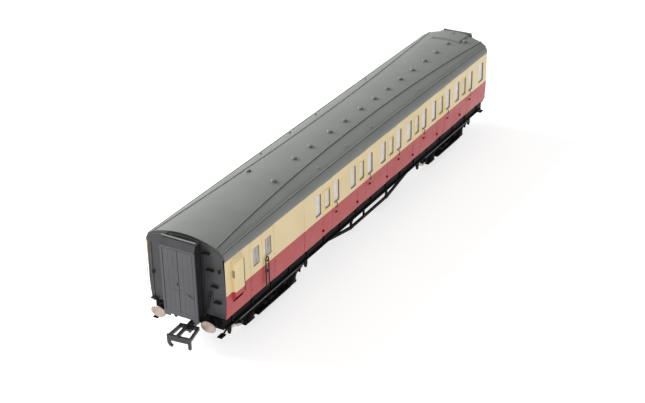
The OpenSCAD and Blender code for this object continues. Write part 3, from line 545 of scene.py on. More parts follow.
FIRST_LENGTH, THIRD_LENGTH = 29.5, 25.4
PITCHES = (FIRST_LENGTH, (FIRST_LENGTH + THIRD_LENGTH) / 2, THIRD_LENGTH, THIRD_LENGTH, THIRD_LENGTH)
FIRST_DOOR_X = -41.75
DOORS = [FIRST_DOOR_X]
for pitch in PITCHES:
    DOORS.append(DOORS[-1] + pitch)
PARTITIONS = [DOORS[0] - FIRST_LENGTH / 2]
for length in (FIRST_LENGTH, FIRST_LENGTH) + (THIRD_LENGTH,) * 4:
    PARTITIONS.append(PARTITIONS[-1] + length)
CORRIDOR_DOORS = [(DOORS[i] + DOORS[i + 1]) / 2 for i in (0, 2, 4)]
LUGGAGE_X, LUGGAGE_LEAF = -92.4, 8.6
LUGGAGE_LIGHTS = [LUGGAGE_X - LUGGAGE_LEAF / 2, LUGGAGE_X + LUGGAGE_LEAF / 2]
LAVATORY_X = DOORS[5] + THIRD_LENGTH / 2 + 7.1
DOOR_HALF = 3.9                            # half the width of a door
HANDLE_X = 7.1                             # from a door's middle to its grab handle
LIGHT = 4.5                                # width of a window
SILL, HEAD = WAIST + 1.7, WAIST + 11.4
VAN_JOINT = -59.5                          # where the van meets the compartments
QUARTER = 7.6                              # from a door light to the light beside it

ROOF_R, SHOULDER_R, ROOF_WALL = 40.0, 6.0, 1.1
MAIN_Z = CROWN - ROOF_R
eave_reach = hypot(EAVE_Y, EAVE_Z - MAIN_Z)
inner_r = ROOF_R - SHOULDER_R
cross_a = (inner_r ** 2 - SHOULDER_R ** 2 + eave_reach ** 2) / (2 * eave_reach)
cross_h = sqrt(inner_r ** 2 - cross_a ** 2)
SHOULDER_Y = (cross_a * EAVE_Y - cross_h * (EAVE_Z - MAIN_Z)) / eave_reach
SHOULDER_Z = MAIN_Z + (cross_a * (EAVE_Z - MAIN_Z) + cross_h * EAVE_Y) / eave_reach
TANGENT = asin(SHOULDER_Y / inner_r)  # angle from the crown at which the two arcs meet


def roof_at(y):
    """Height of the roof at y, and the direction straight out of it there."""
    if abs(y) < ROOF_R * sin(TANGENT):
        z = MAIN_Z + sqrt(ROOF_R ** 2 - y * y)
        return z, Vector((0, y, z - MAIN_Z)).normalized()
    off = min(abs(y) - SHOULDER_Y, SHOULDER_R * 0.999)
    z = SHOULDER_Z + sqrt(SHOULDER_R ** 2 - off * off)
    return z, Vector((0, copysign(off, y), z - SHOULDER_Z)).normalized()


def roof_arc(inset, steps=72):
    """The roof section from the +Y eave over the crown to the -Y eave, moved in by inset."""
    low = asin((EAVE_Z - SHOULDER_Z) / (SHOULDER_R - inset))
    half = []
    for i in range(steps // 4):
        a = low + (pi / 2 - TANGENT - low) * i / (steps // 4)
        half.append((SHOULDER_Y + (SHOULDER_R - inset) * cos(a),
            SHOULDER_Z + (SHOULDER_R - inset) * sin(a)))
    for i in range(steps // 2 + 1):
        a = TANGENT * (1 - i / (steps // 2))
        half.append(((ROOF_R - inset) * sin(a), MAIN_Z + (ROOF_R - inset) * cos(a)))
    return half + [(-y, z) for y, z in reversed(half[:-1])]


def tuck(z):
    """How far the side curves in at height z."""
    return TUMBLEHOME * (max(0.0, WAIST - z) / (WAIST - BASE_Z)) ** 2


# ---------- body sides ----------


def door_light(x):
    return (x - LIGHT / 2, x + LIGHT / 2, SILL + 0.5, HEAD - 0.5)


def side_light(x, width=LIGHT):
    return (x - width / 2, x + width / 2, SILL, HEAD)


def luggage_light(x):
    return (x - LIGHT / 2, x + LIGHT / 2, SILL + 1.4, SILL + 9.4)


SHARED_LIGHTS = [side_light(LAVATORY_X, LIGHT + 1)] + [luggage_light(x) for x in LUGGAGE_LIGHTS]
COMPARTMENT_LIGHTS = [door_light(x) for x in DOORS]
COMPARTMENT_LIGHTS += [side_light(x + s * QUARTER) for x in DOORS for s in SIDES] + SHARED_LIGHTS
CORRIDOR_LIGHTS = [side_light(x, 12.8) for x in DOORS]
CORRIDOR_LIGHTS += [door_light(x) for x in CORRIDOR_DOORS] + SHARED_LIGHTS
LUGGAGE_LEAVES = [(LUGGAGE_X - LUGGAGE_LEAF, LUGGAGE_X), (LUGGAGE_X, LUGGAGE_X + LUGGAGE_LEAF)]


# places in the list of a side's or lookout's materials
CREAM_INK, CRIMSON_INK, REVEAL_INK, ROOF_INK, LOOKOUT_UNDERSIDE_SHADE_INK = 0, 1, 2, 5, 5


def livery(bm, reveal=False):
    """Bends a flat side to its tumblehome and marks its faces roof grey, cream, crimson or reveal."""
    for z in [BASE_Z + (WAIST - BASE_Z) * i / 5 for i in range(6)] + [CANTRAIL]:
        geom = bm.verts[:] + bm.edges[:] + bm.faces[:]
        bmesh.ops.bisect_plane(bm, geom=geom, plane_co=(0, 0, z), plane_no=(0, 0, 1), dist=1e-4)
    for f in bm.faces:
        z = f.calc_center_median().z
        f.material_index = ROOF_INK if z > CANTRAIL else CREAM_INK if z > WAIST else CRIMSON_INK
        if reveal and abs(f.normal.y) < 0.5:
            f.material_index = REVEAL_INK
    for v in bm.verts:
        v.co.y -= tuck(v.co.z)


def door_furniture(shape, x):
    """Hinges and stop on the left of a door, and its handles on the right, as seen from outside."""
    shape.use(CRIMSON)
    y = HALF_W - tuck(23.4)
    shape.box(x - DOOR_HALF - 0.22, x - DOOR_HALF + 0.22, y - 0.05, y + 0.18, 23.4, 24.0, 0.08)
    shape.use(DARK_RED)
    shape.dome(x - DOOR_HALF + 0.2, HALF_W - tuck(20.2), 20.4, 0.62, height=0.6)
    shape.use(CREAM)
    shape.box(x - DOOR_HALF - 0.2, x - DOOR_HALF + 0.2, HALF_W - 0.05, HALF_W + 0.15, 34.0, 34.6, 0.08)
    shape.use(WIRE)
    y, grip = HALF_W + 0.5, x + HANDLE_X
    shape.tube([(grip, HALF_W - 0.1, 26.7), (grip, y - 0.05, 26.8), (grip, y, 27.2), (grip, y, 28.6),
        (grip, y - 0.05, 29.0), (grip, HALF_W - 0.1, 29.1)], 0.15, 8)
    shape.use(DARK_RED)
    shape.rod((x + 6.9, HALF_W - 0.1, 24.7), (x + 6.9, HALF_W + 0.35, 24.7), 0.28)
    shape.box(x + 5.6, x + 7.7, HALF_W + 0.25, HALF_W + 0.5, 24.5, 24.85, 0.1)


def build_side(name, node, sign, lights, doors):
    """One side: a wall with its windows, and a thin skin over it that is cut into doors."""
    shape = Shape(CREAM, CRIMSON, REVEAL, CREAM_FRAME, WIRE, ROOF, DARK_RED, place=mirrored(sign))
    holes = [ring(*light, 0.5) for light in lights]
    wall = cut_sheet([rect(-HALF_L + 1.4, HALF_L - 1.4, BASE_Z + 0.05, EAVE_Z + 0.6)], holes, HALF_W - WALL,
        HALF_W - SKIN, 0.04)
    livery(wall, reveal=True)
    shape.take(wall, keep_ink=True)

    leaves = [(x - DOOR_HALF, x + DOOR_HALF) for x in doors]
    gaps = sorted(leaves + [(LUGGAGE_LEAVES[0][0], LUGGAGE_LEAVES[1][1])])
    outline = [(-HALF_L, EAVE_Z), (-HALF_L, BASE_Z)]
    for x0, x1 in gaps:
        outline += [(x0 - JOINT, BASE_Z), (x0 - JOINT, DOOR_TOP), (x1 + JOINT, DOOR_TOP),
            (x1 + JOINT, BASE_Z)]
    outline += [(HALF_L, BASE_Z), (HALF_L, EAVE_Z)]
    panels = [rect(x0, x1, BASE_Z + 0.7, DOOR_TOP - JOINT) for x0, x1 in leaves]
    half = JOINT / 2
    panels += [rect(x0 + half, x1 - half, BASE_Z + 0.7, DOOR_TOP - JOINT) for x0, x1 in LUGGAGE_LEAVES]
    skin = cut_sheet([outline] + panels, holes, HALF_W - SKIN, HALF_W, 0.06)
    livery(skin)
    shape.take(skin, keep_ink=True)

    shape.use(CREAM_FRAME)
    for x in doors:
        x0, x1, z0, z1 = door_light(x)
        outer = ring(x0 - 0.42, x1 + 0.42, z0 - 0.42, z1 + 0.42, 0.7)
        inner = ring(x0 + 0.12, x1 - 0.12, z0 + 0.12, z1 - 0.12, 0.4)
        shape.take(cut_sheet([outer], [inner], HALF_W - 0.25, HALF_W + 0.13, 0.07))
    for x in doors:
        door_furniture(shape, x)
    # a cover strip over the joint between the van and the compartments
    strip = cut_sheet([rect(VAN_JOINT - 1.2, VAN_JOINT + 1.2, BASE_Z + 0.3, EAVE_Z)], [], HALF_W - 0.1,
        HALF_W + 0.12, 0.05)
    livery(strip)
    shape.take(strip, keep_ink=True)
    shape.use(CRIMSON)
    for x in (LUGGAGE_X - 8.1, LUGGAGE_X + 9.1):
        for z in (21.2, 25.4):
            y = HALF_W - tuck(z)
            shape.box(x - 0.22, x + 0.22, y - 0.05, y + 0.16, z - 0.3, z + 0.3, 0.08)
    shape.use(CREAM)
    for x in (LUGGAGE_X - 8.4, LUGGAGE_X + 8.5):
        for z in (31.6, 38.6):
            shape.box(x - 0.2, x + 0.2, HALF_W - 0.05, HALF_W + 0.13, z - 0.3, z + 0.3, 0.08)
    shape.done(name, "body_paint", node)


def build_panes(name, node, sign, lights):
    """Moulded windows: a clear block with a softened edge in each opening."""
    shape = Shape(GLASS, VAN_GLASS, place=mirrored(sign))
    for x0, x1, z0, z1 in lights:
        van = x1 < PARTITIONS[0]
        shape.use(VAN_GLASS if van else GLASS)
        depth = 0.3 if van else 0.62
        shape.take(cut_sheet([ring(x0 + 0.04, x1 - 0.04, z0 + 0.04, z1 - 0.04, 0.46)], [],
            HALF_W - depth - 0.5, HALF_W - depth, 0.06))
    shape.done(name, "glazing", node)


def build_ducket(name, node, sign):
    """The guard's lookout: sloped at top and foot, with a two-light window in each end."""
    low, high = mm_box(node)
    out = max(abs(low.y), abs(high.y))
    shape = Shape(CREAM, CRIMSON, LAMP_GLASS, CREAM_FRAME, OLIVE, DARK_RED, place=mirrored(sign))
    inner = HALF_W - 0.3
    # painted shadow: dark strips down its +X edge and along the side under its foot, where it throws its
    # shadow
    shape.use(OLIVE)
    shape.box(high.x - 0.42, high.x, out - 0.6, out, WAIST, high.z - 2.3, 0.02)
    shape.use(DARK_RED)
    shape.box(high.x - 0.42, high.x, out - 0.6, out, low.z + 2.5, WAIST, 0.02)
    shape.box(low.x + 0.1, high.x, HALF_W - 0.1, HALF_W + 0.09, low.z + 0.1, low.z + 0.6, 0.02)
    low = low + Vector((0, 0, 0.45))
    out -= 0.04
    outline = [(inner, low.z), (HALF_W, low.z), (out, low.z + 2.2), (out, high.z - 2.2), (HALF_W, high.z),
        (inner, high.z)]
    bm = pulled(outline, low.x, high.x)
    bmesh.ops.recalc_face_normals(bm, faces=bm.faces)
    bmesh.ops.bevel(bm, geom=bm.edges[:], offset=0.22, segments=3, profile=0.5, affect="EDGES")
    bmesh.ops.bisect_plane(bm, geom=bm.verts[:] + bm.edges[:] + bm.faces[:], plane_co=(0, 0, WAIST),
        plane_no=(0, 0, 1))
    # faces of the foot that look downwards are painted dark red as their shade
    for f in bm.faces:
        if f.calc_center_median().z > WAIST:
            f.material_index = CREAM_INK
        else:
            f.material_index = LOOKOUT_UNDERSIDE_SHADE_INK if f.normal.z < -0.3 else CRIMSON_INK
    shape.take(bm, keep_ink=True)
    for x, step in ((low.x, -1), (high.x, 1)):
        shape.use(CREAM_FRAME)
        shape.box(x - step * 0.2, x + step * 0.04, HALF_W + 0.1, out - 0.1, 33.4, 37.2, 0.04)
        shape.use(LAMP_GLASS)
        for y in (HALF_W + 0.22, HALF_W + 0.8):
            shape.box(x - step * 0.2, x + step * 0.08, y, y + 0.46, 33.8, 36.8, 0.04)
    shape.done(name, "body_paint", node)


def grab_rails():
    """A long wire loop beside each pair of luggage doors, on two pegs and with a tie across it."""
    low, high = mm_box("grab_rails")
    shape = Shape(WIRE)
    x = (low.x + high.x) / 2
    half, r = (high.x - low.x) / 2 - 0.25, 0.25
    y = high.y - r
    z0, z1 = low.z + half + r, high.z - half - r
    for sign in SIDES:
        shape.place = mirrored(sign)
        arc = [radians(10 * i) for i in range(19)]
        path = [(x + half * cos(a), y, z1 + half * sin(a)) for a in arc]
        path += [(x - half * cos(a), y, z0 - half * sin(a)) for a in arc]
        shape.tube(path, r, 12, loop=True)
        shape.rod((x - half, y, WAIST - 3.2), (x + half, y, WAIST - 3.2), r * 0.8)
        for z in (WAIST - 3.2, WAIST + 1.2):
            shape.rod((x + half, HALF_W - 0.4, z), (x + half, y, z), r * 0.85)
            shape.dome(x + half, HALF_W - tuck(z), z, 0.5, height=0.25)
    shape.done("grab_rail_loops", "wire_black", "grab_rails")


# ---------- roof ----------


def build_roof():
    """The roof moulding; its end faces take the dark paint of the ends."""
    shape = Shape(ROOF, END)
    rim = 0.12
    shape.prism(roof_arc(0) + roof_arc(ROOF_WALL)[::-1], -HALF_L + rim, HALF_L - rim, "x", 0.1)
    shape.use(END)
    for x in (-HALF_L, HALF_L - 2 * rim):
        shape.prism(roof_arc(0.08) + roof_arc(ROOF_WALL)[::-1], x, x + 2 * rim, "x", 0.08)
    shape.done("roof_shell", "roof_paint", "roof")


def rain_beads():
    """Bowed half-round beads that throw rain off the doors, with a darker line in the angle below each."""
    shape = Shape(ROOF, BEAD_FOOT_LINE)
    for sign in SIDES:
        for mid, bow in ((HALF_W - 9.2, 5.2), (HALF_W - 2.4, 0.9)):
            rings, lines = [], []
            for i in range(61):
                x = -HALF_L + 0.1 + (2 * HALF_L - 0.2) * i / 60
                y = mid + bow * (x / HALF_L) ** 2 + 0.3
                z, out = roof_at(y)
                along = Vector((0, out.z, -out.y))
                foot = Vector((x, y, z))
                points = [foot + along * 0.3 * u + out * v
                    for u, v in ((-1, -0.1), (-1, 0.08), (-0.75, 0.25), (-0.3, 0.34),
                        (0.3, 0.34), (0.75, 0.25), (1, 0.08), (1, -0.1))]
                rings.append([Vector((p.x, p.y * sign, p.z)) for p in points])
                lines.append([Vector((x, q.y * sign, q.z))
                    for q in (foot + along * u * 0.3 + out * v
                        for u, v in ((0.9, -0.1), (0.9, 0.14), (1.9, 0.03), (1.9, -0.1)))])
            shape.use(ROOF)
            shape.loft(rings)
            shape.use(BEAD_FOOT_LINE)
            shape.loft(lines)
    shape.done("rain_beads", "roof_paint", "rain_strips")


VENT_SPOTS = [(x + dx, -3.3) for x in DOORS for dx in (-2.2, 10.7)]
VENT_SPOTS += [(-62, 7.6), (-64.8, -6.4), (110.2, -8.9)]
PEG_SPOTS = [(-42.4, -14), (-19, -14), (3, -14), (49.2, -14)]


def roof_tilt(y):
    """Turns a thing drawn upright so that it stands straight out of the roof at y."""
    z, out = roof_at(y)
    return Matrix.Translation((0, y, z)) @ Vector((0, 0, 1)).rotation_difference(out).to_matrix().to_4x4()


def vent_shells():
    """Shell ventilators: a flange on the roof, a waisted neck and a hooded cap, with black patches on the
    cap from +X round towards -Y as painted shade of its mouth.
    """
    shape = Shape(ROOF, BELLOWS)
    for x, y in VENT_SPOTS:
        shape.place = Matrix.Translation((x, 0, 0)) @ roof_tilt(y)
        shape.use(ROOF)
        shape.lathe([(0, -0.3), (1.2, -0.3), (1.2, 0.05), (1.1, 0.12), (0.8, 0.14), (0.72, 0.25),
            (0.75, 0.4), (1.0, 0.46), (1.12, 0.56), (1.12, 0.70), (0.98, 0.86), (0.7, 0.96), (0.35, 1.0),
            (0, 1.0)], (0, 0, 0), "z", 28, (1.1, 0.95))
        shape.use(BELLOWS)
        # black patches on the cap are painted shade of the mouth; no opening is cut
        for turn in (-75, -35, 0):
            mouth = shape.place
            shape.place = mouth @ Matrix.Rotation(radians(turn), 4, "Z")
            shape.box(0.62, 1.14, -0.46, 0.46, 0.16, 0.56, 0.05)
            shape.place = mouth
    for x, y in PEG_SPOTS:
        for sign in SIDES:
            shape.place = Matrix.Translation((x, 0, 0)) @ roof_tilt(y * sign)
            shape.use(ROOF)
            shape.lathe([(0, -0.3), (0.7, -0.3), (0.7, 0.08), (0.48, 0.14), (0.44, 0.55), (0.32, 0.66),
                (0, 0.7)], (0, 0, 0), "z", 14)
    shape.done("roof_vent_shells", "roof_paint", "roof_vents")


def tank_hatch():
    """The raised cover over the lavatory tank, with its filler and a row of fixing screws."""
    low, high = mm_box("tank_cover")
    filler = 0.32                          # height of the filler cap
    rise = high.z - CROWN - filler
    half = high.y
    shape = Shape(ROOF)
    for reach, lift, x0, x1, soften in ((half, rise, low.x, high.x, 0.16),
            (half + 0.7, rise * 0.25, low.x - 0.6, high.x + 0.4, 0.08)):
        ys = [reach * (1 - i / 12) for i in range(25)]
        shape.prism([(y, roof_at(y)[0] + lift) for y in ys] + [(y, roof_at(y)[0] - 0.3) for y in ys[::-1]],
            x0, x1, "x", soften)
    top = CROWN + rise
    shape.lathe([(0, -0.3), (1.5, -0.3), (1.5, 0.05), (1.05, 0.08), (1.05, filler - 0.08),
        (0.9, filler - 0.01), (0, filler)], (115, 0, top), "z", 28)
    for x in (low.x + 0.9, high.x - 0.9):
        for i in range(-3, 4):
            y = half * i / 3.4
            shape.dome(x, y, roof_at(y)[0] + rise - 0.02, 0.28, "z", height=0.2)
    shape.done("tank_hatch", "roof_paint", "tank_cover")


# ---------- ends ----------

gangway_low, gangway_high = mm_box("gangway_doors_lavatory")
FACE_X = gangway_high.x                    # outer face of the closed gangway
PLATE_X = gangway_low.x                    # back of its face plate
GANGWAY_W = gangway_high.y
GANGWAY_Z0, GANGWAY_Z1 = BASE_Z - 1.1, gangway_high.z
HOOD_Z = mm_box("gangway_lavatory")[1].z
BELLOWS_Z0 = mm_box("gangway_lavatory")[0].z
FOOT_Z = gangway_low.z                     # lowest point of the feet under the face plate
BUFFER_SPACING = 23.3


def turned(side):
    """Ends are drawn at the brake end, looking to -X; the other one is turned half round."""
    return Matrix.Identity(4) if side < 0 else Matrix.Rotation(pi, 4, "Z")


def on_end(side):
    """As turned, with x = 0 on the outside of the end wall."""
    return turned(side) @ Matrix.Translation((-HALF_L, 0, 0))


def section(inset):
    """The whole end outline, moved in by inset from the sides."""
    zs = [BASE_Z + (WAIST - BASE_Z) * i / 6 for i in range(7)]
    right = [(HALF_W - inset - tuck(z), z) for z in zs]
    arc = [(min(HALF_W - inset, max(inset - HALF_W, y)), z) for y, z in roof_arc(ROOF_WALL)]
    return right + arc + [(-y, z) for y, z in right[::-1]]


def build_end(name, node, side):
    shape = Shape(END, BELLOWS, place=on_end(side))
    shape.prism(section(SKIN), 0, 1.4, "x", 0.1)
    # ribs that the moulding carries beside the gangway, and a bead under the roof
    for y in (-13.9, 13.9):
        shape.box(-0.22, 0.1, y + 1.9, y + 2.3, BASE_Z + 0.4, 43.0, 0.08)
    for s in SIDES:
        shape.box(-0.28, 0.1, s * 9.0 - 0.25, s * 9.0 + 0.25, BASE_Z + 0.4, 48.0, 0.1)
    shape.tube([(-0.05, y, z) for y, z in roof_arc(ROOF_WALL + 0.15)[4:-4]], 0.14, 8)
    # a black lens-shaped sheet above the hood is painted shade of the deep gap under the roof's end
    shape.use(BELLOWS)
    lens = [(y, z) for y, z in roof_arc(ROOF_WALL + 0.45) if z > HOOD_Z - 1.7]
    shape.prism(lens, -0.06, 0.2, "x", 0.02)
    shape.done(name, "end_paint", node)


def gangway_outline(inset, z_low, z_high):
    return ring(-GANGWAY_W + inset, GANGWAY_W - inset, z_low + inset * 0.5, z_high - inset, 1.2, 4)


def build_bellows(name, node, side):
    """Folded canvas between the end and the face plate, with a canvas roof and a sloping hood."""
    shape = Shape(BELLOWS, FACE, END, ROOF, place=turned(side))
    root, plate = HALF_L - 0.1, PLATE_X
    folds, fine = 4, 10
    front = -PLATE_X + 1.2
    slope = (HOOD_Z - 0.6 - GANGWAY_Z1) / (front - 0.25 + FACE_X)
    rings = []
    for i in range(folds * fine + 1):
        t = i / (folds * fine)
        fold = abs(((t * folds) % 1) * 2 - 1) ** 0.7
        x = -(root + (plate - root) * t)
        rings.append([Vector((x, y, z)) for y, z in gangway_outline(0.35 + 0.75 * (1 - fold), BELLOWS_Z0,
            min(HOOD_Z - 1.2, GANGWAY_Z1 + slope * (x + FACE_X) - 0.1))])
    shape.loft(rings)
    # canvas roof, a little slack between the end and the hood
    back = -HALF_L
    canvas_z = HOOD_Z - 1.1
    top = []
    for i in range(13):
        t = i / 12
        x = back + (front - back) * t
        slack = 0.16 * sin(pi * t) + 0.07 * sin(5 * pi * t)
        top.append((x, canvas_z - 0.08 - slack))
    outline = top + [(x, z - 0.4) for x, z in top[::-1]]
    shape.prism(outline, -GANGWAY_W + 0.15, GANGWAY_W - 0.15, "y", 0.08)
    # the hood: dark canvas stretched from the top of the face to a stiff pale upper edge
    z0 = GANGWAY_Z1
    lean = [(-PLATE_X, z0 - 0.3), (-FACE_X + 0.1, z0 - 0.3), (-FACE_X + 0.1, z0 + 0.1),
        (front - 0.15, HOOD_Z - 0.5), (front + 0.3, HOOD_Z - 0.5)]
    shape.use(END)
    shape.prism(lean, -GANGWAY_W + 0.2, GANGWAY_W - 0.2, "y", 0.06)
    shape.use(FACE)
    shape.box(-FACE_X - 0.02, -FACE_X + 0.3, -GANGWAY_W + 0.1, GANGWAY_W - 0.1, z0 - 0.35, z0 + 0.05, 0.1)
    shape.use(ROOF)
    shape.box(front - 0.5, front + 0.25, -GANGWAY_W + 0.1, GANGWAY_W - 0.1, HOOD_Z - 0.3, HOOD_Z, 0.1)
    shape.box(front + 0.05, front + 0.25, -GANGWAY_W + 0.1, GANGWAY_W - 0.1, HOOD_Z - 1.15, HOOD_Z - 0.1,
        0.04)
    # a black strip just under the pale upper edge is its painted shadow
    shape.use(BELLOWS)
    shape.box(front - 0.42, front + 0.2, -GANGWAY_W + 0.3, GANGWAY_W - 0.3, HOOD_Z - 0.75, HOOD_Z - 0.28,
        0.03)
    shape.done(name, "bellows_black", node)


def build_gangway_doors(name, node, side):
    """The closed face plate with two leaves, a rail across them, a handle and a foot ledge."""
    shape = Shape(FACE, BELLOWS, WIRE, place=turned(side))
    w, z0, z1 = GANGWAY_W, GANGWAY_Z0, GANGWAY_Z1
    face, plate = -FACE_X, -PLATE_X
    shape.box(face + 0.35, plate, -w, w, z0, z1, 0.12)
    for s in SIDES:
        shape.box(face + 0.35, plate, s * w, s * (w - 2.6), FOOT_Z, z0 + 0.2, 0.1)
    inner = w - 1.0
    surround = [rect(-w, w, z0, z1)]
    opening = [ring(-inner, inner, z0 + 1.5, z1 - 0.65, 0.25)]
    bm = cut_sheet(surround, opening, 0.0, 0.34, 0.07)
    bm.transform(Matrix(((0, -1, 0, face + 0.37), (1, 0, 0, 0), (0, 0, 1, 0), (0, 0, 0, 1))))
    shape.take(bm)
    gap = 0.14
    for s in SIDES:
        y0, y1 = sorted((s * gap, s * (inner - 0.18)))
        shape.box(face + 0.12, face + 0.45, y0, y1, z0 + 1.68, z1 - 0.8, 0.08)
        for k in (0.34, 0.67):
            y = y0 + (y1 - y0) * k
            shape.box(face + 0.07, face + 0.2, y - 0.12, y + 0.12, 28.8, z1 - 1.6, 0.05)
            shape.box(face + 0.07, face + 0.2, y - 0.12, y + 0.12, z0 + 2.6, 26.6, 0.05)
        shape.box(face, face + 0.2, y0 + 0.25, y1 - 0.25, 27.3, 27.7, 0.09)
    for k in (0, 1):
        z = 26.6 + 0.75 * k
        shape.tube([(face + 0.03, -3.9 + 0.6 * k, z), (face + 0.03, -6.3 + 0.5 * k, z - 0.9)], 0.13, 8)
    shape.box(face - 0.02, face + 0.4, -inner - 0.2, inner + 0.2, 17.5, 17.95, 0.1)
    shape.use(WIRE)
    shape.rod((face + 0.3, 0.75, 30.6), (face - 0.02, 0.75, 30.6), 0.36)
    shape.box(face - 0.02, face + 0.16, 0.6, 0.9, 29.6, 30.7, 0.08)
    shape.done(name, "end_paint", node)


def build_end_fittings(name, node, side):
    """Climbing steps, lamp irons, a conduit and, at the brake end, a corner handrail."""
    shape = Shape(WIRE, NICKEL, place=on_end(side))
    for y, z in ((-14.0, 23.6), (-12.9, 30.4), (-11.4, 37.2), (-9.9, 44.1)):
        shape.box(-1.3, 0.1, y - 1.6, y + 1.6, z + 0.22, z + 0.5, 0.08)
        shape.box(-1.3, -1.12, y - 1.6, y + 1.6, z + 0.3, z + 0.75, 0.05)
        for s in SIDES:
            bracket = [(0, z - 0.5), (0, z + 0.3), (-1.1, z + 0.3)]
            shape.prism(bracket, y + s * 1.25 - 0.12, y + s * 1.25 + 0.12, "y", 0.03)
    for y, z in ((-15.4, 37.0), (15.6, 28.6)):
        shape.box(-0.25, 0.1, y - 0.6, y + 0.6, z, z + 1.4, 0.08)
        shape.tube([(-0.1, y, z + 0.2), (-0.75, y, z + 0.3), (-0.85, y, z + 0.7), (-0.85, y, z + 1.7)],
            0.22, 8)
    shape.box(-1.4, 0.1, 14.2, 17.2, BASE_Z + 0.1, BASE_Z + 0.6, 0.1)
    shape.box(-1.0, 0.1, 15.2, 16.2, BASE_Z - 0.5, BASE_Z + 0.3, 0.08)
    shape.tube([(-0.4, 9.4, BASE_Z), (-0.5, 9.4, 18.2), (-0.5, 9.4, 32.2), (-0.35, 9.9, 33.2),
        (-0.3, 11.0, 33.5), (0.1, 11.2, 33.5)], 0.28, 10)
    for z in (18.6, 24.8, 31.0):
        shape.box(-0.62, 0.05, 9.05, 9.75, z, z + 0.35, 0.06)
    shape.tube([(0.1, -11.4, 28.2), (-0.5, -11.3, 27.9), (-0.6, -11.1, 27.2), (-0.6, -8.9, 19.6),
        (-0.6, -8.2, 17.6), (-0.7, -8.0, 16.4)], 0.34, 10)
    for y, z in ((-10.6, 25.6), (-9.2, 20.6)):
        shape.box(-0.75, 0.05, y - 0.5, y + 0.5, z, z + 0.4, 0.06)
    if side < 0:
        shape.use(NICKEL)
        y = HALF_W + 0.35
        shape.tube([(0.4, y - 0.7, 20.9), (-0.2, y - 0.1, 20.9), (-0.35, y, 21.3), (-0.35, y, 33.7),
            (-0.2, y - 0.1, 34.1), (0.4, y - 0.7, 34.1)], 0.12, 8)
    shape.done(name, "wire_black", node)


def build_buffers(name, node, side):
    """Oval-headed buffers: a bolted foot, a ribbed stock and a turned head with a rim."""
    low, high = mm_box(node)
    face = max(abs(low.x), abs(high.x))
    shape = Shape(BLACK, NICKEL, place=on_end(side))
    y_mid, z = BUFFER_SPACING / 2, (low.z + high.z) / 2
    for s in SIDES:
        y = s * y_mid
        shape.use(BLACK)
        shape.box(-0.35, 0.1, y - 2.3, y + 2.3, z - 2.2, z + 2.2, 0.12)
        for a in SIDES:
            for b in SIDES:
                shape.dome(-0.33, y + a * 1.75, z + b * 1.65, 0.32, "x", -1)
        shape.lathe([(0, 0.2), (2.1, 0.2), (2.1, -0.5), (1.75, -0.75), (1.6, -1.5), (1.6, -1.9),
            (1.85, -2.0), (1.85, -2.35), (1.7, -2.45), (1.15, -2.45), (0, -2.45)], (0, y, z), "x", 32)
        shape.use(NICKEL)
        reach = HALF_L - face
        shape.lathe([(0, -2.3), (1.05, -2.3), (1.05, reach + 1.25), (1.3, reach + 1.05)], (0, y, z), "x",
            32)
        half_y, tall = 3.5, 2.4
        shape.lathe([(0, 1.15), (0.36, 1.15), (0.5, 0.95), (0.86, 0.78), (0.97, 0.66), (1.0, 0.52),
            (1.0, 0.38), (0.97, 0.24), (0.92, 0.16), (0.86, 0.14), (0.82, 0.20), (0.76, 0.20), (0.70, 0.12),
            (0.45, 0.05), (0.2, 0.01), (0, 0)], (reach, y, z), "x", 64, (half_y, tall))
    shape.done(name, "buffer_metal", node)


# ---------- interior ----------


def build_interior():
    low, high = mm_box("interior")
    shape = Shape(TAN, LAMP_GLASS)
    wall_y = high.y - 7.6
    top = high.z
    shape.box(low.x, high.x, low.y, high.y, low.z, low.z + 0.8, 0.1)
    for x in PARTITIONS:
        shape.box(x - 0.45, x + 0.45, low.y, wall_y, low.z, top, 0.15)
    holes = [ring(x - 7.8 + k * 5.4, x - 7.8 + k * 5.4 + 4.6, SILL, HEAD, 0.4)
        for x in DOORS for k in (0, 1, 2)]
    bm = cut_sheet([rect(PARTITIONS[0] - 0.45, high.x, low.z + 0.1, top)], holes, wall_y - 0.9, wall_y,
        0.08)
    shape.take(bm)
    # shelves and packing in the van, and the lavatory's partition
    shape.box(-75.5, -74.7, low.y, high.y, low.z, top, 0.1)
    shape.box(PARTITIONS[6] + 6.5, PARTITIONS[6] + 7.2, low.y, wall_y, low.z, top, 0.1)
    shape.done("compartment_moulding", "interior_tan", "interior")


def build_benches():
    """Benches with crowned cushions, padded backs, arm rests and headrest cloths."""
    low, high = mm_box("seats")
    shape = Shape(SEAT, TAN, CLOTH)
    y0, y1 = low.y + 0.1, high.y - 0.1
    for i in range(6):
        for x, face in ((PARTITIONS[i] + 0.45, 1), (PARTITIONS[i + 1] - 0.45, -1)):
            shape.place = Matrix.Translation((x, 0, 0)) @ Matrix.Diagonal((face, 1, 1, 1))
            places = 3 if i < 2 else 4
            width = (y1 - y0) / places
            shape.use(TAN)
            shape.box(0.1, 6.0, y0, y1, low.z, low.z + 3.2, 0.25)
            for k in range(places):
                a, b = y0 + k * width + 0.12, y0 + (k + 1) * width - 0.12
                shape.use(SEAT)
                shape.box(0.9, 6.4, a, b, low.z + 3.0, low.z + 5.2, 0.75)
                shape.box(0.0, 1.6, a, b, low.z + 4.8, high.z - 3.0, 0.5)
                shape.box(0.0, 1.25, a + 0.1, b - 0.1, high.z - 3.0, high.z, 0.5)
                shape.use(CLOTH)
                shape.box(0.3, 1.34, a + 0.5, b - 0.5, high.z - 2.9, high.z - 0.2, 0.3)
                shape.use(TAN)
                if i < 2 or k == 0:
                    shape.box(0.6, 4.9, a - 0.35, a + 0.25, low.z + 6.6, low.z + 7.3, 0.25)
    shape.done("benches", "seat_red", "seats")


# ---------- underframe ----------


UNDER_Z = BASE_Z + 0.2                      # what hangs from the floor starts here


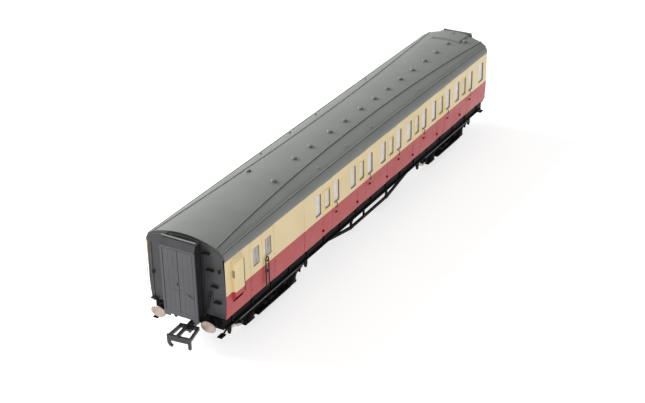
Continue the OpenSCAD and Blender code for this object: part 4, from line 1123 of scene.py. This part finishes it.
def floor_extras(shape):
    """Pipes and cross bearers under the floor."""
    z = UNDER_Z
    for y, r in ((-3.2, 0.5), (3.4, 0.4)):
        path = [(-104, y, z - 0.9), (-96, y, z - 0.9), (-92, y * 1.6, z - 1.0), (-60, y * 2.2, z - 1.4),
            (60, y * 2.2, z - 1.4), (92, y * 1.6, z - 1.0), (96, y, z - 0.9), (104, y, z - 0.9)]
        shape.tube(path, r, 10)
    for x in (-57, -46, -33, -4, 5.5, 33, 46, 57):
        shape.box(x - 0.5, x + 0.5, -14.6, 14.6, z - 1.1, z + 0.1, 0.12)


def solebar_extras(sign):
    def draw(shape):
        shape.place = mirrored(sign)
        low, high = mm_box("solebar_corridor")
        face = low.y + 0.6
        x = -112.0
        while x < 113:
            shape.box(x - 0.35, x + 0.35, face - 0.1, face + 0.42, low.z + 0.5, high.z - 0.5, 0.08)
            for dx in (-1.5, 1.5):
                for z in (low.z + 1.3, high.z - 1.3):
                    shape.dome(x + dx, face, z, 0.26)
            x += 14.0
    return draw


def headstock_extras(side):
    def draw(shape):
        shape.place = on_end(side)
        low, high = mm_box("headstock_brake")
        for y in (-15.0, -7.6, -5.6, 5.6, 7.6, 15.0):
            for z in (low.z + 0.9, high.z - 0.9):
                shape.dome(0.02, y, z, 0.3, "x", -1)
        shape.box(-0.25, 0.1, -2.3, 2.3, low.z + 0.3, high.z - 0.2, 0.1)
    return draw


def truss_extras(sign):
    def draw(shape):
        shape.place = mirrored(sign)
        low, high = mm_box("truss_corridor")
        y0, y1 = low.y, high.y
        for s in SIDES:
            x = s * 16.5
            shape.box(x - 1.0, x + 1.0, y0 - 0.1, y1 + 0.1, low.z - 0.02, low.z + 1.5, 0.15)
            shape.rod((x, y0 - 0.3, low.z + 0.7), (x, y1 + 0.28, low.z + 0.7), 0.42)
            shape.box(s * 43.6 - 1.8, s * 43.6 + 1.8, y0 - 0.1, y1 + 0.1, high.z - 0.6, high.z + 0.05, 0.1)
        # a flange along the bottom bar makes it an angle iron
        shape.box(-16.5, 16.5, y0 - 0.7, y0 + 0.1, low.z + 0.02, low.z + 0.3, 0.06)
        for x in (-9.5, 0.6, 8.3):
            shape.rod((x, y1 - 0.1, low.z + 0.65), (x, y1 + 0.22, low.z + 0.65), 0.3)
    return draw


def battery_boxes():
    shape = Shape(BLACK, WIRE)
    for s in SIDES:
        shape.place = turned(-s)
        x0, x1, y0, y1, z0 = 11.0, 29.0, 6.5, 12.5, 7.2
        shape.use(BLACK)
        shape.box(x0, x1, y0, y1, z0, UNDER_Z, 0.22)
        for a, b in ((x0 + 0.7, 19.8), (20.2, x1 - 0.7)):
            shape.box(a, b, y1 - 0.1, y1 + 0.3, z0 + 0.8, UNDER_Z - 3.0, 0.12)
            for z in (z0 + 1.9, UNDER_Z - 4.2):
                shape.box(a + 0.3, b - 0.3, y1, y1 + 0.42, z - 0.3, z + 0.3, 0.1)
        shape.box(x0 - 0.12, x1 + 0.12, y0 - 0.12, y1 + 0.2, UNDER_Z - 2.6, UNDER_Z - 2.1, 0.1)
        shape.use(WIRE)
        for x in (15.4, 24.8):
            shape.box(x - 0.5, x + 0.5, y1 + 0.2, y1 + 0.62, z0 + 3.6, z0 + 4.4, 0.12)
            shape.tube([(x - 0.6, y1 + 0.5, z0 + 3.3), (x, y1 + 0.7, z0 + 3.0),
                (x + 0.6, y1 + 0.5, z0 + 3.3)], 0.14, 8)
        for x in (x0 + 0.2, x1 - 0.2):
            shape.box(x - 0.35, x + 0.35, y0 - 0.25, y1 + 0.34, z0 - 0.18, UNDER_Z, 0.1)
    shape.done("battery_cases", "frame_black", "battery_boxes")


def cylinders():
    """Two upright brake cylinders and the belt-driven dynamo."""
    shape = Shape(BLACK, WIRE)
    for s in SIDES:
        x, y = s * 38, -s * 7
        shape.use(BLACK)
        shape.lathe([(0, 7.6), (1.4, 7.62), (2.6, 7.9), (3.1, 8.4), (3.2, 9.0), (3.4, 9.0), (3.4, 9.4),
            (3.2, 9.4), (3.2, 11.2), (3.4, 11.2), (3.4, 11.6), (3.2, 11.6), (3.2, 14.6), (3.4, 14.6),
            (3.4, 15.1), (3.0, 15.6), (2.2, 16.2), (2.2, UNDER_Z), (0, UNDER_Z)], (x, y, 0), "z", 36)
        shape.use(WIRE)
        for k in range(8):
            a = pi * k / 4
            shape.dome(x + 3.28 * cos(a), y + 3.28 * sin(a), 15.1, 0.2, "z")
        shape.rod((x, y, 7.7), (x, y, 6.4), 0.6)
        shape.box(x - 0.9, x + 0.9, y - 0.35, y + 0.35, 5.9, 6.9, 0.15)
        shape.tube([(x + 2.8, y, 10.2), (x + 4.6, y, 10.2), (x + 5.2, y, 10.9),
            (x + 5.2, y, UNDER_Z - 0.6)], 0.4, 10)
    shape.use(BLACK)
    shape.lathe([(0, 2.0), (2.2, 2.0), (2.6, 2.3), (2.8, 2.6), (2.8, 3.2), (2.65, 3.3), (2.65, 7.6),
        (2.8, 7.7), (2.8, 8.3), (2.5, 8.8), (0, 9.0)], (-12, 0, 9.6), "y", 36)
    shape.use(WIRE)
    shape.lathe([(0, 0.6), (1.7, 0.6), (1.75, 0.75), (1.35, 1.0), (1.35, 1.3), (1.75, 1.55), (1.7, 1.7),
        (0, 1.7)], (-12, 0, 9.6), "y", 30)
    shape.rod((-12, 1.5, 9.6), (-12, 2.2, 9.6), 0.5)
    shape.use(BLACK)
    shape.box(-13, -11, 4.5, 6.5, 9.6, UNDER_Z, 0.15)
    for y in (3.4, 7.4):
        shape.box(-14.1, -9.9, y - 0.25, y + 0.25, 12.0, 13.0, 0.1)
    shape.done("cylinders_and_dynamo", "frame_black", "vacuum_cylinders")


# ---------- bogies and wheels ----------

wheel_low, wheel_high = mm_box("wheelset_1")
AXLE_Z = (wheel_low.z + wheel_high.z) / 2
BOGIE_X = abs(mm_box("bogie_pivot_brake")[0].x + mm_box("bogie_pivot_brake")[1].x) / 2
AXLE_X = 16.0                              # from the middle of a bogie to an axle
FRAME_Y, FRAME_OUT = 11.9, 13.4            # inner and outer faces of a side frame
FRAME_TOP, FRAME_FOOT = 9.5, 4.4
FRAME_HALF = 25.3                          # half the length of a side frame
TREAD_R = 7.05                             # radius of a wheel's tread
FOOTBOARD_HALF = 12.4


def leaf_spring(shape, x, y0, y1, z):
    """A stack of curved leaves in a buckle, on hangers at both ends."""
    for k in range(5):
        half = 6.4 - 1.05 * k
        top = []
        for i in range(13):
            u = -half + 2 * half * i / 12
            top.append((x + u, z - 0.30 * k - 0.021 * u * u))
        shape.prism(top + [(a, b - 0.24) for a, b in top[::-1]], y0, y1, "y", 0.04, over=50)
    shape.box(x - 0.75, x + 0.75, y0 - 0.1, y1 + 0.14, z - 1.55, z + 0.22, 0.12)
    for s in SIDES:
        end = x + s * 6.3
        shape.rod((end, y0 - 0.1, z - 0.95), (end, y1 + 0.12, z - 0.95), 0.5)
        shape.box(end - 0.28, end + 0.28, y0 + 0.1, y1 - 0.05, z - 2.6, z - 0.9, 0.08)


def bogie_side(shape):
    """One side frame with its axleboxes, springs, footboard and guards; y = 0 is its outer face."""
    inner = FRAME_Y - FRAME_OUT
    a, h, dip = AXLE_X, FRAME_HALF, FRAME_TOP - 3.2
    half = [(h, FRAME_TOP), (h, FRAME_TOP - 2.2), (a + 4.6, dip), (a + 3.4, FRAME_FOOT),
        (a - 3.4, FRAME_FOOT), (a - 4.6, dip), (7, dip), (5, FRAME_FOOT)]
    shape.prism(half + [(-x, z) for x, z in half[::-1]], inner, 0, "y", 0.14, over=15)
    shape.box(-h, h, -0.2, 1.3, FRAME_TOP - 0.45, FRAME_TOP - 0.05, 0.1)
    # a pale strip along the flange's outer edge is a painted highlight
    shape.use(PAINTED_HIGHLIGHT)
    shape.box(-h + 1, h - 1, 0.95, 1.3, FRAME_TOP - 0.2, FRAME_TOP, 0.06)
    shape.use(BLACK)
    for i in range(24):
        x = -h + 1.2 + (2 * h - 2.4) * i / 23
        if abs(abs(x) - a) > 2.6:
            shape.dome(x, 0, FRAME_TOP - 1.1, 0.22)
    for s in SIDES:
        x = s * a
        leaf_spring(shape, x, -0.1, 0.75, 8.9)
        shape.box(x - 2, x + 2, -0.1, 1.15, 3.9, AXLE_Z + 0.4, 0.25)
        shape.box(x - 1.5, x + 1.5, 1.0, 1.5, 4.3, AXLE_Z + 0.1, 0.2)
        shape.lathe([(0, 1.3), (1.05, 1.3), (1.05, 1.6), (0.85, 1.7), (0, 1.7)], (x, 0, AXLE_Z - 1.6), "y",
            24)
        for dx in SIDES:
            for z in (4.7, AXLE_Z - 0.3):
                shape.dome(x + dx * 1.2, 1.48, z, 0.2)
            shape.box(x + dx * 2.7 - 0.35, x + dx * 2.7 + 0.35, -0.1, 0.5, 3.6, FRAME_TOP - 0.8, 0.1)
        shape.box(x - 3.4, x + 3.4, inner + 0.2, 0.6, 3.4, 4.1, 0.14)
        guard = [(-0.42, 5.0), (0.42, 5.0), (0.85, 6.2), (1.05, 7.2), (0.95, 8.3), (0.5, 8.9), (-0.5, 8.9),
            (-0.95, 8.3), (-1.05, 7.2), (-0.85, 6.2)]
        gx = s * (h + 3.6)
        shape.prism([(gx + u, w) for u, w in guard], -1.1, -0.3, "y", 0.14)
        shape.tube([(s * (h - 0.6), -0.7, FRAME_TOP - 0.8), (gx - s * 0.4, -0.7, FRAME_TOP - 0.8),
            (gx, -0.7, FRAME_TOP - 1.2)], 0.36, 8)
        shape.coil(s * 2.7, 0.72, 5.7, 8.7, 0.62, 0.17, 5)
        shape.lathe([(0, 8.6), (0.95, 8.6), (0.95, 8.9), (0, 8.9)], (s * 2.7, 0.6, 0), "z", 18)
        shape.box(s * 9.4 - 0.6, s * 9.4 + 0.6, -0.1, 0.6, 5.0, FRAME_TOP - 0.6, 0.12)
    shape.box(-FOOTBOARD_HALF, FOOTBOARD_HALF, 0.45, 2.2, 5.0, 5.4, 0.12)
    shape.box(-FOOTBOARD_HALF, FOOTBOARD_HALF, 1.95, 2.2, 5.0, 5.75, 0.08)
    for i in range(22):
        x = -11.6 + 23.2 * i / 21
        shape.box(x - 0.2, x + 0.2, 0.7, 1.9, 5.35, 5.48, 0.03)
    shape.rod((-a + 2.2, -0.7, 3.9), (a - 2.2, -0.7, 3.9), 0.32)
    # a thin web closes the frame behind the springs, down to a ledge that carries the footboard
    for s in SIDES:
        shape.box(s * 4.8, s * (a - 3.2), -0.4, -0.05, 5.0, dip + 0.4, 0.04)
        shape.box(s * 4.8, s * (a - 3.2), -0.4, 0.6, 5.0, 5.3, 0.04)


def brake_shoes(shape):
    """Blocks that stand just clear of the treads, on hangers from a cross shaft."""
    face = TREAD_R + 0.4
    for s in SIDES:
        x = s * (AXLE_X - 8.9)
        for t in SIDES:
            block = [(-s * r * cos(radians(d)) + s * AXLE_X, AXLE_Z + r * sin(radians(d)))
                for r, turns in ((face, range(-26, 27, 4)), (face + 0.95, range(26, -27, -4)))
                for d in turns]
            shape.prism(block, t * 8.5, t * 9.8, "y", 0.1, over=40)
            shape.box(x - 0.35, x + 0.35, t * 8.9, t * 9.4, 5.8, 9.3, 0.1)
        shape.rod((x, -FRAME_Y - 0.05, 9.0), (x, FRAME_Y + 0.05, 9.0), 0.42)
        shape.rod((x, -9.2, 6.0), (x, 9.2, 6.0), 0.36)


def circle(r, steps=40):
    return [(r * cos(2 * pi * i / steps), r * sin(2 * pi * i / steps)) for i in range(steps)]


def build_bogie(end, side):
    shape = Shape(BLACK, PAINTED_HIGHLIGHT)
    middle = Matrix.Translation((side * BOGIE_X, 0, 0))
    for s in SIDES:
        shape.place = middle @ mirrored(s) @ Matrix.Translation((0, FRAME_OUT, 0))
        bogie_side(shape)
    shape.place = middle
    brake_shoes(shape)
    lay = Matrix.Rotation(pi / 2, 4, "X")
    low_z = FRAME_FOOT + 1.5
    for outline, hole, z0, z1 in ((rect(-4.5, 4.5, -FRAME_Y - 0.1, FRAME_Y + 0.1), 1.9, low_z, FRAME_TOP),
            (circle(4.2), 1.9, FRAME_TOP - 0.3, 12.0)):
        bm = cut_sheet([outline], [circle(hole)], z0, z1, 0.15)
        bm.transform(lay)
        shape.take(bm)
    for s in SIDES:
        shape.box(s * (FRAME_HALF - 0.9), s * FRAME_HALF, -FRAME_Y - 0.1, FRAME_Y + 0.1, FRAME_TOP - 2.4,
            FRAME_TOP - 0.4, 0.14)
        for y in (-8.5, 8.5):
            shape.dome(s * FRAME_HALF, y, FRAME_TOP - 1.4, 0.4, "x", s)
        for y in (-6.4, 6.4):
            shape.box(s * 4.3, s * 7.6, y - 0.5, y + 0.5, FRAME_TOP - 1.6, FRAME_TOP - 0.6, 0.12)
    shape.done(f"bogie_{end}", "frame_black", f"bogie_frame_{end}", body=f"bogie_{end}")


def build_pivot(end, side):
    """A pan-headed screw with a cross slot, seen from below."""
    low, high = mm_box(f"bogie_pivot_{end}")
    shape = Shape(SCREW, BLACK)
    x = side * BOGIE_X
    shape.lathe([(0, high.z), (1.8, high.z), (1.8, low.z + 1.2), (3.0, low.z + 1.2), (3.0, low.z + 0.5),
        (2.7, low.z + 0.15), (2.2, low.z), (0, low.z)], (x, 0, 0), "z", 36)
    shape.use(BLACK)
    for dx, dy in ((1.5, 0.25), (0.25, 1.5)):
        shape.box(x - dx, x + dx, -dy, dy, low.z - 0.02, low.z + 0.3, 0.03)
    shape.done(f"bogie_screw_{end}", "pivot_steel", f"bogie_pivot_{end}")


TYRE_BACK = 7.2                            # half the distance between the wheel backs


def build_wheelset(number):
    low, high = mm_box(f"wheelset_{number}")
    x, reach = (low.x + high.x) / 2, high.y
    shape = Shape(TYRE, BLACK)
    shape.lathe([(0, -reach), (0.2, -reach), (1.0, -reach + 1.3), (1.0, reach - 1.3), (0.2, reach),
        (0, reach)], (x, 0, AXLE_Z), "y", 24)
    tyre = [(5.8, 0.05), (7.5, 0.0), (7.8, 0.04), (7.96, 0.14), (8.0, 0.26), (7.94, 0.4), (7.7, 0.54),
        (7.4, 0.64), (7.2, 0.8), (7.12, 0.95), (TREAD_R, 2.6), (6.98, 2.74), (6.85, 2.8), (5.95, 2.8),
        (5.85, 2.7), (5.8, 2.5)]
    web = [(0, 0.0), (2.3, 0.0), (2.5, 0.3), (5.2, 0.45), (5.82, 0.2), (5.82, 2.2), (5.5, 2.05),
        (5.2, 1.75), (3.4, 1.5), (2.4, 1.7), (2.1, 1.95), (2.05, 2.6), (1.9, 2.75), (0, 2.8)]
    for s in SIDES:
        shape.place = mirrored(s)
        shape.use(TYRE)
        shape.lathe(tyre, (x, TYRE_BACK, AXLE_Z), "y", 96, hollow=True)
        shape.use(BLACK)
        shape.lathe(web, (x, TYRE_BACK, AXLE_Z), "y", 64)
        for k in range(8):
            a = pi * k / 4
            shape.dome(x + 4.3 * cos(a), TYRE_BACK + 1.62, AXLE_Z + 4.3 * sin(a), 0.42, height=0.3)
        shape.lathe([(1.0, 2.75), (1.0, 3.6), (1.3, 3.6), (1.3, 2.75)], (x, TYRE_BACK, AXLE_Z), "y", 28,
            hollow=True)
    shape.done(f"wheels_{number}", "wheel_metal", f"wheelset_{number}", body=f"wheelset_{number}")


# ---------- the whole coach ----------


def build_ground():
    """A sheet of pale paper, large enough that its far edge stays out of most views."""
    mesh = bpy.data.meshes.new("floor")
    corners = rect(-FLOOR_REACH, FLOOR_REACH, -FLOOR_REACH, FLOOR_REACH)
    mesh.from_pydata([(x, y, cad_box[0][2]) for x, y in corners], [], [(0, 1, 2, 3)])
    mesh.materials.append(floor_paper("floor_paper"))
    placed("floor", mesh)


def finish_cad_nodes():
    """Puts a finish on the CAD nodes that are shown as they are."""
    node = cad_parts["ballast_plate"]
    node.data.materials.clear()
    node.data.materials.append(STEEL)


make_camera()
light_studio()
build_ground()
finish_cad_nodes()
build_side("side_compartment", "compartment_side", -1, COMPARTMENT_LIGHTS, DOORS)
build_side("side_corridor", "corridor_side", 1, CORRIDOR_LIGHTS, CORRIDOR_DOORS)
build_panes("panes_compartment", "compartment_glazing", -1, COMPARTMENT_LIGHTS)
build_panes("panes_corridor", "corridor_glazing", 1, CORRIDOR_LIGHTS)
build_ducket("lookout_compartment", "ducket_compartment", -1)
build_ducket("lookout_corridor", "ducket_corridor", 1)
grab_rails()
build_roof()
rain_beads()
vent_shells()
tank_hatch()
build_interior()
build_benches()
battery_boxes()
cylinders()
softened("floor_moulding", "underframe_floor", 0.1, floor_extras)
softened("steps_corner", "corner_steps")
for name, sign in (("compartment", -1), ("corridor", 1)):
    softened(f"solebar_iron_{name}", f"solebar_{name}", 0.08, solebar_extras(sign))
    softened(f"truss_iron_{name}", f"truss_{name}", 0.12, truss_extras(sign))
for end, side in ENDS:
    build_end(f"end_panel_{end}", f"{end}_end_wall", side)
    build_bellows(f"bellows_{end}", f"gangway_{end}", side)
    build_gangway_doors(f"gangway_face_{end}", f"gangway_doors_{end}", side)
    build_end_fittings(f"end_irons_{end}", f"end_fittings_{end}", side)
    build_buffers(f"buffer_pair_{end}", f"buffers_{end}", side)
    softened(f"headstock_beam_{end}", f"headstock_{end}", 0.14, headstock_extras(side))
    build_bogie(end, side)
    build_pivot(end, side)
    softened(f"coupler_{end}", f"coupling_{end}", body=f"coupling_{end}", material=COUPLER)
    softened(f"coupler_hook_{end}", f"coupling_hook_{end}", body=f"hook_{end}", material=COUPLER)
for number in (1, 2, 3, 4):
    build_wheelset(number)
